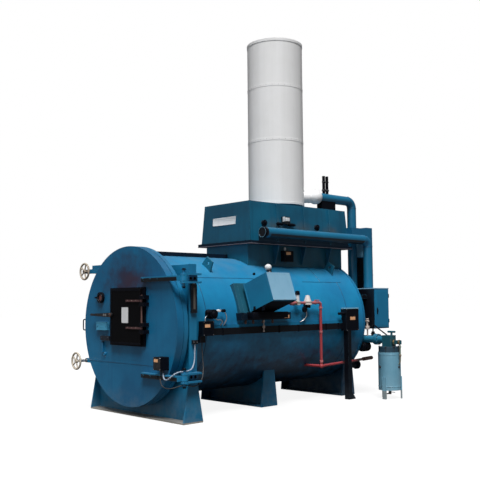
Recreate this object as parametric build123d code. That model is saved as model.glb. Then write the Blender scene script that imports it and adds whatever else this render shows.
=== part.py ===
from build123d import *
from math import acos, atan2, cos, degrees, radians, sin, sqrt, tan
import os

os.makedirs("parts", exist_ok=True)

# Medical waste incinerator: a horizontal round furnace on three saddles, with a hinged
# front door, an afterburner chamber and a clad flue stack on top, a fan cabinet with two
# air risers behind it, and a filter vessel beside the rear end.
# Millimetres. X runs across, Y along the barrel towards the rear, Z up. The origin is on
# the floor, under the middle of the middle saddle.

# Barrel
AXIS_HEIGHT = 1182.0
SHELL_RADIUS = 940.0
SHELL_PLATE = 10.0
LINING_THICKNESS = 180.0
SHELL_FRONT_Y = -1792.0
SHELL_REAR_Y = 1863.0
REAR_HEAD_THICKNESS = 24.0
REAR_RING_PROUD = 8.0
REAR_RING_WIDTH = 45.0
REAR_LINING_THICKNESS = 200.0
FLANGE_PROUD = 110.0
FLANGE_THICKNESS = 60.0

# Main door
DOOR_OVERHANG = 0.0
DOOR_DEPTH = 100.0
DOOR_PLATE = 20.0
DOOR_RIM = 18.0
GASKET_THICKNESS = 9.7
GASKET_WIDTH = 60.0
SEAT_GAP = 0.3
PLUG_CLEARANCE = 35.0
PLUG_REACH = 60.0

# Saddles
BASE_THICKNESS = 20.0
SADDLE_PLATE = 20.0
SADDLE_GAP = 0.3
FRONT_SADDLE_Y = -1713.0
FRONT_CLEARANCE = 108.0
FRONT_BASE_DEPTH = 308.0
POST_WIDTH = 111.0
POST_HEIGHT = 1960.0
POST_FLARE_HEIGHT = 560.0
REAR_SADDLE_Y = 1765.0
SADDLE_HALF_WIDTH = 660.0
SADDLE_BASE_DEPTH = 320.0
SADDLE_TOP_DEPTH = 180.0
SADDLE_TOP_HEIGHT = 640.0
ANCHOR_RADIUS = 12.0
ANCHOR_PITCH_Y = 220.0
FRONT_ANCHOR_INSET = 98.0
SADDLE_ANCHOR_PITCH_X = 1120.0

# Door hinge
HINGE_REACH = 57.0
HINGE_FORWARD = 60.0
HINGE_PIN_RADIUS = 18.0
HINGE_FIT = 0.05
HINGE_EYE_RADIUS = 45.0
HINGE_PLAY = 6.0
UPPER_ARM_Z = 1780.0
LOWER_ARM_Z = 570.0
ARM_HEIGHT = 66.0
ARM_THICKNESS = 50.0
ARM_INNER_X = 363.0
EAR_THICKNESS = 22.0
HINGE_PIN_END = 40.0

# Charging hatch
HATCH_X = 17.0
HATCH_Z = 1305.0
HATCH_WIDTH = 784.0
HATCH_HEIGHT = 760.0
HATCH_FRAME_DEPTH = 25.0
DOORWAY_WIDTH = 620.0
DOORWAY_HEIGHT = 560.0
HATCH_LEAF_WIDTH = 687.0
HATCH_LEAF_HEIGHT = 730.0
HATCH_LEAF_X = 18.5
HATCH_LEAF_THICKNESS = 30.0
HATCH_GAP = 4.0
HATCH_PLUG_DEPTH = 60.0
HATCH_PLUG_CLEARANCE = 36.0
HATCH_PIN_X = 402.0
HATCH_PIN_Z = 1335.0
HATCH_PIN_RADIUS = 11.0
HATCH_PIN_LENGTH = 470.0
HATCH_STRAP_HEIGHT = 34.0
HATCH_STRAP_THICKNESS = 12.0
HATCH_STRAP_OFFSET = 175.0
HATCH_STRAP_REACH = 351.0
HATCH_EYE_RADIUS = 22.0
HATCH_LUG_HEIGHT = 46.0
HATCH_LUG_WIDTH = 48.0
HATCH_LUG_REACH = 71.0

# Hatch handle
HANDLE_PIVOT_X = -290.0
HANDLE_PIVOT_Z = 1325.0
HANDLE_LENGTH = 480.0
HANDLE_ROOT_HEIGHT = 60.0
HANDLE_TIP_HEIGHT = 26.0
HANDLE_THICKNESS = 20.0
HANDLE_PIN_RADIUS = 14.0
HANDLE_HEAD_RADIUS = 24.0
HANDLE_HEAD_LENGTH = 8.0

# Clamps on the left edge of the door
CLAMP_INSET = 50.0
UPPER_CLAMP_Z = 1930.0
LOWER_CLAMP_Z = 683.0
CLAMP_LUG_THICKNESS = 45.0
CLAMP_LUG_HEIGHT = 60.0
SPINDLE_RADIUS = 18.0
SPINDLE_TAIL = 95.0
SPINDLE_COLLAR_RADIUS = 27.0
SPINDLE_COLLAR_LENGTH = 14.0
UPPER_WHEEL_FORWARD = 45.0
LOWER_WHEEL_FORWARD = 170.0
WHEEL_RADIUS = 124.0
WHEEL_RIM_RADIUS = 14.0
WHEEL_HUB_RADIUS = 26.0
WHEEL_HUB_LENGTH = 34.0
WHEEL_SPOKES = 5
WHEEL_SPOKE_RADIUS = 10.0
KEEPER_INNER_X = 752.0
KEEPER_DROP = 25.0
KEEPER_RISE = 60.0

# Afterburner chamber
NECK_HALF_WIDTH = 453.0
NECK_REAR_Y = 1906.0
NECK_FLOOR_DROP = 347.0
NECK_SKIRT = 455.0
CHAMBER_FRONT_Y = -202.0
CHAMBER_REAR_Y = 1967.0
LIP_HALF_WIDTH = 576.0
LIP_OVERHANG = 67.0
NECK_RISE = 215.0
LIP_THICKNESS = 24.0
HOOD_TOP_HALF_WIDTH = 494.0
HOOD_FOOT_HALF_WIDTH = 530.0
HOOD_HEIGHT = 608.0
CHAMBER_PLATE = 10.0
CHAMBER_LINING = 110.0
ROOF_THICKNESS = 16.0
RIB_FIRST_Y = 338.0
RIB_PITCH = 595.0
RIB_COUNT = 3
RIB_THICKNESS = 14.0
RIB_DEPTH = 26.0
GUSSET_HEIGHT = 295.0
GUSSET_FOOT = 30.0
GUSSET_LIP_INSET = 10.0

# Flue stack
STACK_Y = 871.0
STACK_RADIUS = 439.0
STACK_TOP_Z = 5570.0
STACK_JACKET = 100.0
FLUE_PLATE = 8.0
COLLAR_HEIGHT = 34.0
COLLAR_RADIUS = 405.0
STACK_RIM_HEIGHT = 40.0
STACK_RIM_PROUD = 6.0
BRANCH_STUB_RADIUS = 92.0
BRANCH_BALL_RADIUS = 115.0
BRANCH_BALL_BACK = 66.0

# Burner on the right flank
BURNER_ANGLE = 19.6
BURNER_Y = -508.0
BURNER_WIDTH = 440.0
BURNER_HEIGHT = 388.0
BURNER_NECK_LENGTH = 50.0
BURNER_LENGTH = 463.0
BURNER_PAD_WIDTH = 560.0
BURNER_PAD_HEIGHT = 470.0
BURNER_PAD_PROUD = 45.0
BURNER_PAD_DEPTH = 94.0
BURNER_NECK_RADIUS = 150.0
BURNER_PORT_RADIUS = 110.0

# Fan cabinet and air risers
CABINET_LEFT_X = 300.0
CABINET_RIGHT_X = 1033.0
CABINET_FRONT_Y = 1988.0
CABINET_REAR_Y = 2368.0
CABINET_FLOOR_Z = 1040.0
CABINET_TOP_Z = 1675.0
BRACKET_INSET = 80.0
BRACKET_WIDTH = 60.0
DUCT_LEFT_X = 360.0
DUCT_RIGHT_X = 620.0
DUCT_DEPTH = 155.0
DUCT_BOTTOM_Z = 1050.0
DUCT_TOP_Z = 2690.0
CROSS_WIDTH = 125.0
CROSS_HEIGHT = 250.0
CROSS_DROP = 20.0
AIR_PIPE_RADIUS = 75.0
AIR_BEND_RADIUS = 120.0
RISER_Y = 2262.0
MANIFOLD_X = 720.0
MANIFOLD_RISE = 133.0
MANIFOLD_FRONT_Y = -160.0
BRANCH_X = 400.0
BRANCH_RISE = 190.0
BRANCH_START_Y = 1416.0

# Cable tray along the right flank
TRAY_PROUD = 28.0
TRAY_BOTTOM_Z = 1060.0
TRAY_TOP_Z = 1148.0
TRAY_DEPTH = 60.0
TRAY_LEDGE_SETBACK = 12.0
TRAY_LEDGE_HEIGHT = 45.0
BOX_PROUD = 90.0
FRONT_BOX_Y = -1535.0
FRONT_BOX_LENGTH = 180.0
FRONT_BOX_BOTTOM_Z = 1060.0
FRONT_BOX_TOP_Z = 1245.0
FRONT_BOX_DROP = 86.0
FRONT_BOX_DROP_WIDTH = 90.0
REAR_BOX_Y = 1290.0
REAR_BOX_LENGTH = 300.0
REAR_BOX_BOTTOM_Z = 1030.0
REAR_BOX_TOP_Z = 1360.0
COLUMN_GAP = 5.0
COLUMN_SETBACK = 40.0
COLUMN_WIDTH = 75.0
COLUMN_FOOT_REACH = 78.0
COLUMN_FOOT_EDGE = 15.0
COLUMN_FOOT_HEIGHT = 110.0

# Trim on the barrel
RAIL_WIDTH = 40.0
RAIL_HEIGHT = 60.0
RAIL_ROOT = 40.0
RAIL_FRONT_Y = -1562.0
LUG_SIDE_GAP = 93.0
LUG_FOOT = 200.0
LUG_ROOT = 50.0
LUG_TOP = 140.0
LUG_HEIGHT = 135.0
LUG_THICKNESS = 20.0
LUG_HOLE_RADIUS = 25.0
LUG_HOLE_HEIGHT = 70.0
LUG_FRONT_Y = -1062.0
LUG_REAR_Y = 1458.0
DRAIN_INSET = 50.8
DRAIN_ANGLE = 56.56
DRAIN_RADIUS = 48.0
DRAIN_LENGTH = 360.0
DRAIN_CAP_RADIUS = 72.0
DRAIN_CAP_LENGTH = 50.0
GAUGE_DEPTH = 30.0
GAUGE_WIDTH = 84.0
GAUGE_BOTTOM_Z = 1354.0
GAUGE_TOP_Z = 1711.0
CLIP_DEPTH = 32.0
CLIP_FRONT_Y = -1742.0
CLIP_REAR_Y = -1663.0
CLIP_BOTTOM_Z = 970.0
CLIP_TOP_Z = 1020.0

# Fuel line on the right flank
FUEL_PROUD = 60.0
FUEL_RISE = 278.0
FUEL_RADIUS = 20.0
FUEL_BEND = 30.0
FUEL_BURNER_OFFSET = 80.0
FUEL_FRONT_Y = 138.0
FUEL_DROP_Y = 740.0
FUEL_DROP = 643.0
FUEL_TEE_RADIUS = 32.0
FUEL_END_INSET = 360.0
FUEL_END_Y = 2488.0
FUEL_STUB_RADIUS = 30.0
FUEL_STUB_LENGTH = 330.0
FUEL_BRANCH_ROOT = 80.0
SOLENOID_Y = 246.0
SOLENOID_RADIUS = 28.0
SOLENOID_HEIGHT = 130.0
REGULATOR_Y = 459.0
REGULATOR_RADIUS = 62.0
REGULATOR_TOP_RADIUS = 25.0
REGULATOR_HEIGHT = 110.0

# Water line and filter vessel
WATER_START_X = 620.0
WATER_Y = 1958.0
WATER_Z = 880.0
WATER_RADIUS = 60.0
WATER_BEND = 80.0
WATER_FLANGE_X = 1100.0
WATER_FLANGE_RADIUS = 85.0
WATER_FLANGE_LENGTH = 70.0
MOTOR_X = 845.0
MOTOR_RADIUS = 75.0
MOTOR_LENGTH = 160.0
MOTOR_SINK = 14.0
VESSEL_X = 1370.0
VESSEL_Y = 1888.0
VESSEL_RADIUS = 170.0
VESSEL_BOTTOM_Z = 130.0
VESSEL_TOP_Z = 700.0
VESSEL_LID_Z = 780.0
VESSEL_LID_RADIUS = 160.0
VESSEL_DRAIN_RADIUS = 22.0
VESSEL_DRAIN_LENGTH = 60.0
VESSEL_LEGS = 3
VESSEL_LEG_ANGLE = 37.0
LEG_THICKNESS = 12.0
LEG_WIDTH = 60.0
LEG_HEIGHT = 330.0
HEAD_WIDTH = 150.0
HEAD_RISE = 12.0
HEAD_STEM_RADIUS = 16.0
HEAD_STEM_OFFSET = 50.0
HEAD_TOP_Z = 1005.0
HEAD_ARM_REACH = 220.0
HEAD_GRIP = 130.0

# Small boxes and fittings
TRUNK_PROUD = 100.0
TRUNK_FRONT_Y = -880.0
TRUNK_REAR_Y = 60.0
TRUNK_BOTTOM_Z = 1240.0
TRUNK_TOP_Z = 1335.0
NECK_BOX_Y = 583.0
NECK_BOX_WIDTH = 190.0
NECK_BOX_DEPTH = 80.0
NECK_BOX_HEIGHT = 165.0
NECK_BOX_DROP = 97.0
PORT_PLACES = (60.0, 1222.0)
PORT_RISE = 293.0
PORT_RADIUS = 40.0
PORT_PROUD = 20.0
SENSOR_Y = 500.0
SENSOR_RISE = 353.0
SENSOR_WIDTH = 110.0
SENSOR_DEPTH = 60.0
CRADLE_WIDTH = 110.0
CRADLE_LENGTH = 330.0
CRADLE_FRONT_Y = 1450.0
ACTUATOR_COUNT = 2
ACTUATOR_Y = 1560.0
ACTUATOR_PITCH = 80.0
ACTUATOR_RADIUS = 24.0
ACTUATOR_HEIGHT = 360.0
FLANK_HEAD_RADIUS = 60.0
FLANK_HEAD_PROUD = 105.0
FLANK_HEAD_Y = -1360.0
FLANK_HEAD_Z = 1332.0

# Fittings on the door
SWITCH_X = 735.0
SWITCH_WIDTH = 148.0
SWITCH_DEPTH = 130.0
SWITCH_Z = 660.0
SWITCH_HEIGHT = 160.0
SIGHT_X = -625.0
SIGHT_Z = 1559.0
SIGHT_RADIUS = 75.0
SIGHT_BORE_RADIUS = 48.0
SIGHT_DEPTH = 34.0
SIGHT_GLASS_Y = 15.0
CATCH_X = -571.5
CATCH_Z = 1172.0
CATCH_WIDTH = 255.0
CATCH_HEIGHT = 110.0
CATCH_DEPTH = 40.0
LATCH_X = -600.0
LATCH_Z = 1010.0
LATCH_WIDTH = 215.0
LATCH_HEIGHT = 60.0
LATCH_DEPTH = 40.0
BAR_X = -575.0
BAR_WIDTH = 26.0
BAR_BOTTOM_Z = 815.0
BAR_TOP_Z = 960.0
GRAB_BOTTOM_Z = 1106.0
GRAB_TOP_Z = 1254.0
GRAB_RADIUS = 9.0
GRAB_REACH = 75.0
GRAB_ROOT = 20.0
GRAB_BEND = 25.0
GRAB_INSET = 14.0

# Cables between the door and the furnace. Each is in two parts that meet at an end of the
# lower hinge pin: the conduit above the hinge, the lead below it.
CONDUIT_RADIUS = 9.0
DOOR_CONDUIT_ROUTE = [(850.0, -2027.0, 660.0), (850.0, -2027.0, 606.0), (878.0, -2040.0, 562.0),
                      (930.0, -2050.0, 546.0), (988.0, -2052.0, 562.0), (1036.0, -2042.0, 598.0),
                      (1070.0, -2010.0, 634.0), (1092.0, -1957.0, 650.0),
                      (1105.0, -1902.0, 651.0)]
POST_CONDUIT_ROUTE = [(1105.0, -1902.0, 651.0), (1101.0, -1848.0, 653.0), (1094.0, -1792.0, 664.0),
                      (1083.0, -1746.0, 698.0), (1071.0, -1714.0, 764.0),
                      (1064.0, -1702.0, 866.0), (1064.0, -1702.0, 970.0)]
LEAD_RADIUS = 7.0
DOOR_LEAD_ROUTE = [(806.0, -2027.0, 660.0), (806.0, -2027.0, 612.0), (812.0, -2044.0, 560.0),
                   (838.0, -2060.0, 512.0), (884.0, -2070.0, 474.0), (942.0, -2066.0, 452.0),
                   (1002.0, -2046.0, 448.0), (1056.0, -2008.0, 462.0), (1087.0, -1956.0, 480.0),
                   (1105.0, -1902.0, 489.0)]
POST_LEAD_ROUTE = [(1105.0, -1902.0, 489.0), (1112.0, -1848.0, 480.0), (1114.0, -1786.0, 466.0),
                   (1110.0, -1724.0, 466.0), (1098.0, -1662.0, 484.0), (1076.0, -1606.0, 524.0),
                   (1046.0, -1558.0, 580.0), (1012.0, -1522.0, 650.0), (980.0, -1500.0, 734.0),
                   (958.0, -1491.0, 826.0), (950.0, -1490.0, 900.0), (950.0, -1490.0, 974.0)]


def block(x0, x1, y0, y1, z0, z1):
    """A box between two corners."""
    return Pos((x0 + x1) / 2, (y0 + y1) / 2, (z0 + z1) / 2) * Box(x1 - x0, y1 - y0, z1 - z0)


def rod_y(radius, y0, y1, x, z):
    """A round bar along Y."""
    return Pos(x, (y0 + y1) / 2, z) * Rot(90, 0, 0) * Cylinder(radius, y1 - y0)


def rod_x(radius, x0, x1, y, z):
    """A round bar along X."""
    return Pos((x0 + x1) / 2, y, z) * Rot(0, 90, 0) * Cylinder(radius, x1 - x0)


def rod_z(radius, z0, z1, x, y):
    """A round bar along Z."""
    return Pos(x, y, (z0 + z1) / 2) * Cylinder(radius, z1 - z0)


def ring_y(outer, inner, y0, y1, x=0.0, z=AXIS_HEIGHT):
    """A flat or long ring along Y."""
    return rod_y(outer, y0, y1, x, z) - rod_y(inner, y0 - 1, y1 + 1, x, z)


def save(node, shape):
    """Write one node."""
    export_step(shape, "parts/" + node + ".step")


def radial(angle, shape):
    """Turn a shape built along +X about the barrel axis, up by an angle."""
    return Pos(0, 0, AXIS_HEIGHT) * Rot(0, -angle, 0) * shape


LINING_OUTER = SHELL_RADIUS - SHELL_PLATE
REAR_RING_RADIUS = SHELL_RADIUS + REAR_RING_PROUD
FLANGE_RADIUS = SHELL_RADIUS + FLANGE_PROUD
DOOR_RADIUS = FLANGE_RADIUS + DOOR_OVERHANG
FRONT_HALF_WIDTH = SHELL_RADIUS + FRONT_CLEARANCE
FRONT_ANCHOR_PITCH_X = 2 * (FRONT_HALF_WIDTH - FRONT_ANCHOR_INSET)
HINGE_X = FRONT_HALF_WIDTH + HINGE_REACH
CLAMP_X = CLAMP_INSET - DOOR_RADIUS
LIP_Z = AXIS_HEIGHT + SHELL_RADIUS + NECK_RISE
NECK_FLOOR_Z = LIP_Z - NECK_FLOOR_DROP
NECK_LOW_Z = LIP_Z - NECK_SKIRT
HOOD_TOP_Z = LIP_Z + HOOD_HEIGHT
GUSSET_LOW_Z = LIP_Z - GUSSET_HEIGHT
MANIFOLD_Z = LIP_Z + MANIFOLD_RISE
BRANCH_Z = HOOD_TOP_Z + BRANCH_RISE
TRAY_OUTER_X = SHELL_RADIUS + TRAY_PROUD
BOX_OUTER_X = SHELL_RADIUS + BOX_PROUD
TRUNK_OUTER_X = SHELL_RADIUS + TRUNK_PROUD
FUEL_X = SHELL_RADIUS + FUEL_PROUD
FUEL_BURNER_X = FUEL_X + FUEL_BURNER_OFFSET
FUEL_END_X = SHELL_RADIUS - FUEL_END_INSET
FUEL_Z = AXIS_HEIGHT + FUEL_RISE
FUEL_TEE_Z = AXIS_HEIGHT - FUEL_DROP
DRAIN_X = (SHELL_RADIUS - DRAIN_INSET) * cos(radians(DRAIN_ANGLE))
DRAIN_Z = AXIS_HEIGHT - (SHELL_RADIUS - DRAIN_INSET) * sin(radians(DRAIN_ANGLE))
BURNER_PAD_RADIUS = SHELL_RADIUS + BURNER_PAD_PROUD
BURNER_PAD_ROOT = SHELL_RADIUS - BURNER_PAD_DEPTH
BURNER_INNER_RADIUS = BURNER_PAD_RADIUS + BURNER_NECK_LENGTH
BURNER_OUTER_RADIUS = BURNER_INNER_RADIUS + BURNER_LENGTH
FLANK_HEAD_OUTER_X = SHELL_RADIUS + FLANK_HEAD_PROUD
PORT_Z = LIP_Z + PORT_RISE
SENSOR_Z = LIP_Z + SENSOR_RISE
NECK_BOX_TOP_Z = LIP_Z - NECK_BOX_DROP
NECK_BOX_BOTTOM_Z = NECK_BOX_TOP_Z - NECK_BOX_HEIGHT
ACTUATOR_TOP_Z = BRANCH_Z + ACTUATOR_HEIGHT
LUG_ANGLE = degrees(acos((NECK_HALF_WIDTH + LUG_SIDE_GAP) / SHELL_RADIUS))
BORE_RADIUS = LINING_OUTER - LINING_THICKNESS
FLANGE_FRONT_Y = SHELL_FRONT_Y - FLANGE_THICKNESS
DOOR_BACK_Y = FLANGE_FRONT_Y - SEAT_GAP - GASKET_THICKNESS
DOOR_FACE_Y = DOOR_BACK_Y - DOOR_DEPTH
HINGE_Y = DOOR_FACE_Y + HINGE_FORWARD
HOOD_SLOPE = HOOD_FOOT_HALF_WIDTH - HOOD_TOP_HALF_WIDTH
THROAT_HALF_WIDTH = NECK_HALF_WIDTH - CHAMBER_PLATE - CHAMBER_LINING
THROAT_FRONT_Y = CHAMBER_FRONT_Y + CHAMBER_PLATE + CHAMBER_LINING
THROAT_REAR_Y = SHELL_REAR_Y - REAR_HEAD_THICKNESS - REAR_LINING_THICKNESS
HEAD_FRONT_Y = SHELL_REAR_Y - REAR_HEAD_THICKNESS


# Barrel: casing, lining, front flange and rear head
def throat_cutter():
    """The passage from the barrel up into the afterburner chamber."""
    return block(-THROAT_HALF_WIDTH, THROAT_HALF_WIDTH, THROAT_FRONT_Y, THROAT_REAR_Y,
                 AXIS_HEIGHT, LIP_Z + LIP_THICKNESS + 1)


def burner_port(radius):
    """The round port of the burner through casing and lining."""
    reach = BURNER_OUTER_RADIUS
    bar = Pos(reach / 2, BURNER_Y, 0) * Rot(0, 90, 0) * Cylinder(radius, reach)
    return radial(BURNER_ANGLE, bar)


def build_barrel():
    shell = ring_y(SHELL_RADIUS, LINING_OUTER, SHELL_FRONT_Y, HEAD_FRONT_Y)
    save("shell", shell - throat_cutter() - burner_port(BURNER_PORT_RADIUS))
    lining = ring_y(LINING_OUTER, BORE_RADIUS, SHELL_FRONT_Y, HEAD_FRONT_Y)
    lining = lining + rod_y(LINING_OUTER, HEAD_FRONT_Y - REAR_LINING_THICKNESS, HEAD_FRONT_Y,
                            0, AXIS_HEIGHT)
    save("lining", lining - throat_cutter() - burner_port(BURNER_PORT_RADIUS))
    save("front_flange", ring_y(FLANGE_RADIUS, BORE_RADIUS, FLANGE_FRONT_Y, SHELL_FRONT_Y))
    head = rod_y(SHELL_RADIUS, HEAD_FRONT_Y, SHELL_REAR_Y, 0, AXIS_HEIGHT)
    save("rear_head", head + ring_y(REAR_RING_RADIUS, SHELL_RADIUS, SHELL_REAR_Y - REAR_RING_WIDTH,
                                    SHELL_REAR_Y))


# Saddles
def base_plate(half_width, depth, y, pitch_x):
    """A plate on the floor with four anchor holes."""
    plate = block(-half_width, half_width, y - depth / 2, y + depth / 2, 0, BASE_THICKNESS)
    for dx in (-pitch_x / 2, pitch_x / 2):
        for dy in (-ANCHOR_PITCH_Y / 2, ANCHOR_PITCH_Y / 2):
            plate = plate - rod_z(ANCHOR_RADIUS, -1, BASE_THICKNESS + 1, dx, y + dy)
    return plate


def seat_cutter(y):
    """The round seat of the barrel in a saddle."""
    return rod_y(SHELL_RADIUS + SADDLE_GAP, y - SADDLE_BASE_DEPTH, y + SADDLE_BASE_DEPTH,
                 0, AXIS_HEIGHT)


def ring_cutter():
    """The room that the proud ring at the rear of the barrel takes."""
    return rod_y(REAR_RING_RADIUS + SADDLE_GAP, SHELL_REAR_Y - REAR_RING_WIDTH - SADDLE_GAP,
                 SHELL_REAR_Y + SADDLE_GAP, 0, AXIS_HEIGHT)


def flared_plate(x0, x1, y, foot, top, flare_height, height):
    """An upright flange plate that widens towards its foot."""
    half_foot, half_top = foot / 2, top / 2
    points = [(y - half_foot, BASE_THICKNESS), (y + half_foot, BASE_THICKNESS),
              (y + half_top, flare_height), (y + half_top, height),
              (y - half_top, height), (y - half_top, flare_height)]
    if flare_height == height:
        points = points[:3] + points[5:]
    face = make_face(Polyline(*points, close=True))
    return extrude(Plane.YZ.offset(x0) * face, x1 - x0)


def clamp_keeper():
    """The plate on the latch post that the upper clamp draws against."""
    y0 = FLANGE_FRONT_Y
    keeper = block(-FRONT_HALF_WIDTH, -KEEPER_INNER_X, y0, FRONT_SADDLE_Y,
                   UPPER_CLAMP_Z - KEEPER_DROP, POST_HEIGHT + KEEPER_RISE)
    return keeper - rod_y(FLANGE_RADIUS + SADDLE_GAP, y0 - 1, SHELL_FRONT_Y + SADDLE_GAP,
                          0, AXIS_HEIGHT)


def build_front_frame():
    y = FRONT_SADDLE_Y
    inner = FRONT_HALF_WIDTH - SADDLE_PLATE
    web = block(-inner, inner, y - SADDLE_PLATE / 2, y + SADDLE_PLATE / 2,
                BASE_THICKNESS, POST_HEIGHT) - seat_cutter(y)
    post = flared_plate(inner, FRONT_HALF_WIDTH, y, FRONT_BASE_DEPTH, POST_WIDTH,
                        POST_FLARE_HEIGHT, POST_HEIGHT)
    base = base_plate(FRONT_HALF_WIDTH, FRONT_BASE_DEPTH, y, FRONT_ANCHOR_PITCH_X)
    save("front_saddle", base + web + post + mirror(post, Plane.YZ) + clamp_keeper())



def build_saddle(name, y):
    inner = SADDLE_HALF_WIDTH - SADDLE_PLATE
    web = block(-inner, inner, y - SADDLE_PLATE / 2, y + SADDLE_PLATE / 2,
                BASE_THICKNESS, SADDLE_TOP_HEIGHT)
    cheek = flared_plate(inner, SADDLE_HALF_WIDTH, y, SADDLE_BASE_DEPTH, SADDLE_TOP_DEPTH,
                         SADDLE_TOP_HEIGHT, SADDLE_TOP_HEIGHT)
    shape = web + cheek + mirror(cheek, Plane.YZ) - seat_cutter(y) - ring_cutter()
    save(name, shape + base_plate(SADDLE_HALF_WIDTH, SADDLE_BASE_DEPTH, y,
                                  SADDLE_ANCHOR_PITCH_X))


# Main door
def doorway(grow, y0, y1):
    """The opening of the charging hatch, grown on all four sides."""
    half_w = DOORWAY_WIDTH / 2 + grow
    half_h = DOORWAY_HEIGHT / 2 + grow
    return block(HATCH_X - half_w, HATCH_X + half_w, y0, y1, HATCH_Z - half_h, HATCH_Z + half_h)


ARM_FRONT_Y = DOOR_FACE_Y - ARM_THICKNESS
PLUG_RADIUS = BORE_RADIUS - PLUG_CLEARANCE
PLUG_END_Y = SHELL_FRONT_Y + PLUG_REACH


def build_door():
    face_y, back_y = DOOR_FACE_Y, DOOR_BACK_Y
    hole = doorway(0, face_y - 1, PLUG_END_Y + 1)
    casing = rod_y(DOOR_RADIUS, face_y, back_y, 0, AXIS_HEIGHT)
    casing = casing - rod_y(DOOR_RADIUS - DOOR_RIM, face_y + DOOR_PLATE, back_y + 1, 0, AXIS_HEIGHT)
    save("door_casing", casing - hole)
    lining = rod_y(DOOR_RADIUS - DOOR_RIM, face_y + DOOR_PLATE, back_y, 0, AXIS_HEIGHT)
    lining = lining + rod_y(PLUG_RADIUS, back_y, PLUG_END_Y, 0, AXIS_HEIGHT)
    save("door_lining", lining - hole)
    gasket_outer = DOOR_RADIUS - DOOR_RIM
    save("door_gasket", ring_y(gasket_outer, gasket_outer - GASKET_WIDTH, back_y,
                               back_y + GASKET_THICKNESS))
    arms = []
    for z in (UPPER_ARM_Z, LOWER_ARM_Z):
        z0, z1 = z - ARM_HEIGHT / 2, z + ARM_HEIGHT / 2
        arm = block(ARM_INNER_X, HINGE_X, ARM_FRONT_Y, face_y, z0, z1)
        eye = rod_z(HINGE_EYE_RADIUS, z0, z1, HINGE_X, HINGE_Y)
        link = block(HINGE_X - HINGE_EYE_RADIUS, HINGE_X, ARM_FRONT_Y, HINGE_Y, z0, z1)
        arm = arm + link + eye
        bore = rod_z(HINGE_PIN_RADIUS + HINGE_FIT, z0 - 1, z1 + 1, HINGE_X, HINGE_Y)
        arms.append(arm - bore)
    arms = arms + [clamp_lug(UPPER_CLAMP_Z), clamp_lug(LOWER_CLAMP_Z)]
    save("door_brackets", Compound(children=arms))


def build_hinge_brackets():
    """Two ears and a pin on the post for each hinge arm."""
    y = FRONT_SADDLE_Y
    post_front = y - POST_WIDTH / 2
    brackets = []
    for z in (UPPER_ARM_Z, LOWER_ARM_Z):
        ears = None
        for side in (-1, 1):
            near = z + side * (ARM_HEIGHT / 2 + HINGE_PLAY)
            far = near + side * EAR_THICKNESS
            z0, z1 = min(near, far), max(near, far)
            plate = block(FRONT_HALF_WIDTH, HINGE_X + HINGE_EYE_RADIUS, HINGE_Y, y + POST_WIDTH / 2,
                          z0, z1)
            ear = plate + rod_z(HINGE_EYE_RADIUS, z0, z1, HINGE_X, HINGE_Y)
            ears = ear if ears is None else ears + ear
        reach = ARM_HEIGHT / 2 + HINGE_PLAY + EAR_THICKNESS
        pin = rod_z(HINGE_PIN_RADIUS, z - reach - HINGE_PIN_END, z + reach + HINGE_PIN_END,
                    HINGE_X, HINGE_Y)
        cheek = block(FRONT_HALF_WIDTH, FRONT_HALF_WIDTH + EAR_THICKNESS, post_front,
                      y + POST_WIDTH / 2, z - reach, z + reach)
        brackets.append(ears + pin + cheek)
    save("hinge_brackets", Compound(children=brackets))


# Charging hatch
FRAME_FRONT_Y = DOOR_FACE_Y - HATCH_FRAME_DEPTH
LEAF_BACK_Y = FRAME_FRONT_Y - HATCH_GAP
LEAF_FRONT_Y = LEAF_BACK_Y - HATCH_LEAF_THICKNESS
HATCH_PIN_Y = LEAF_FRONT_Y - HATCH_STRAP_THICKNESS / 2


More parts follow.
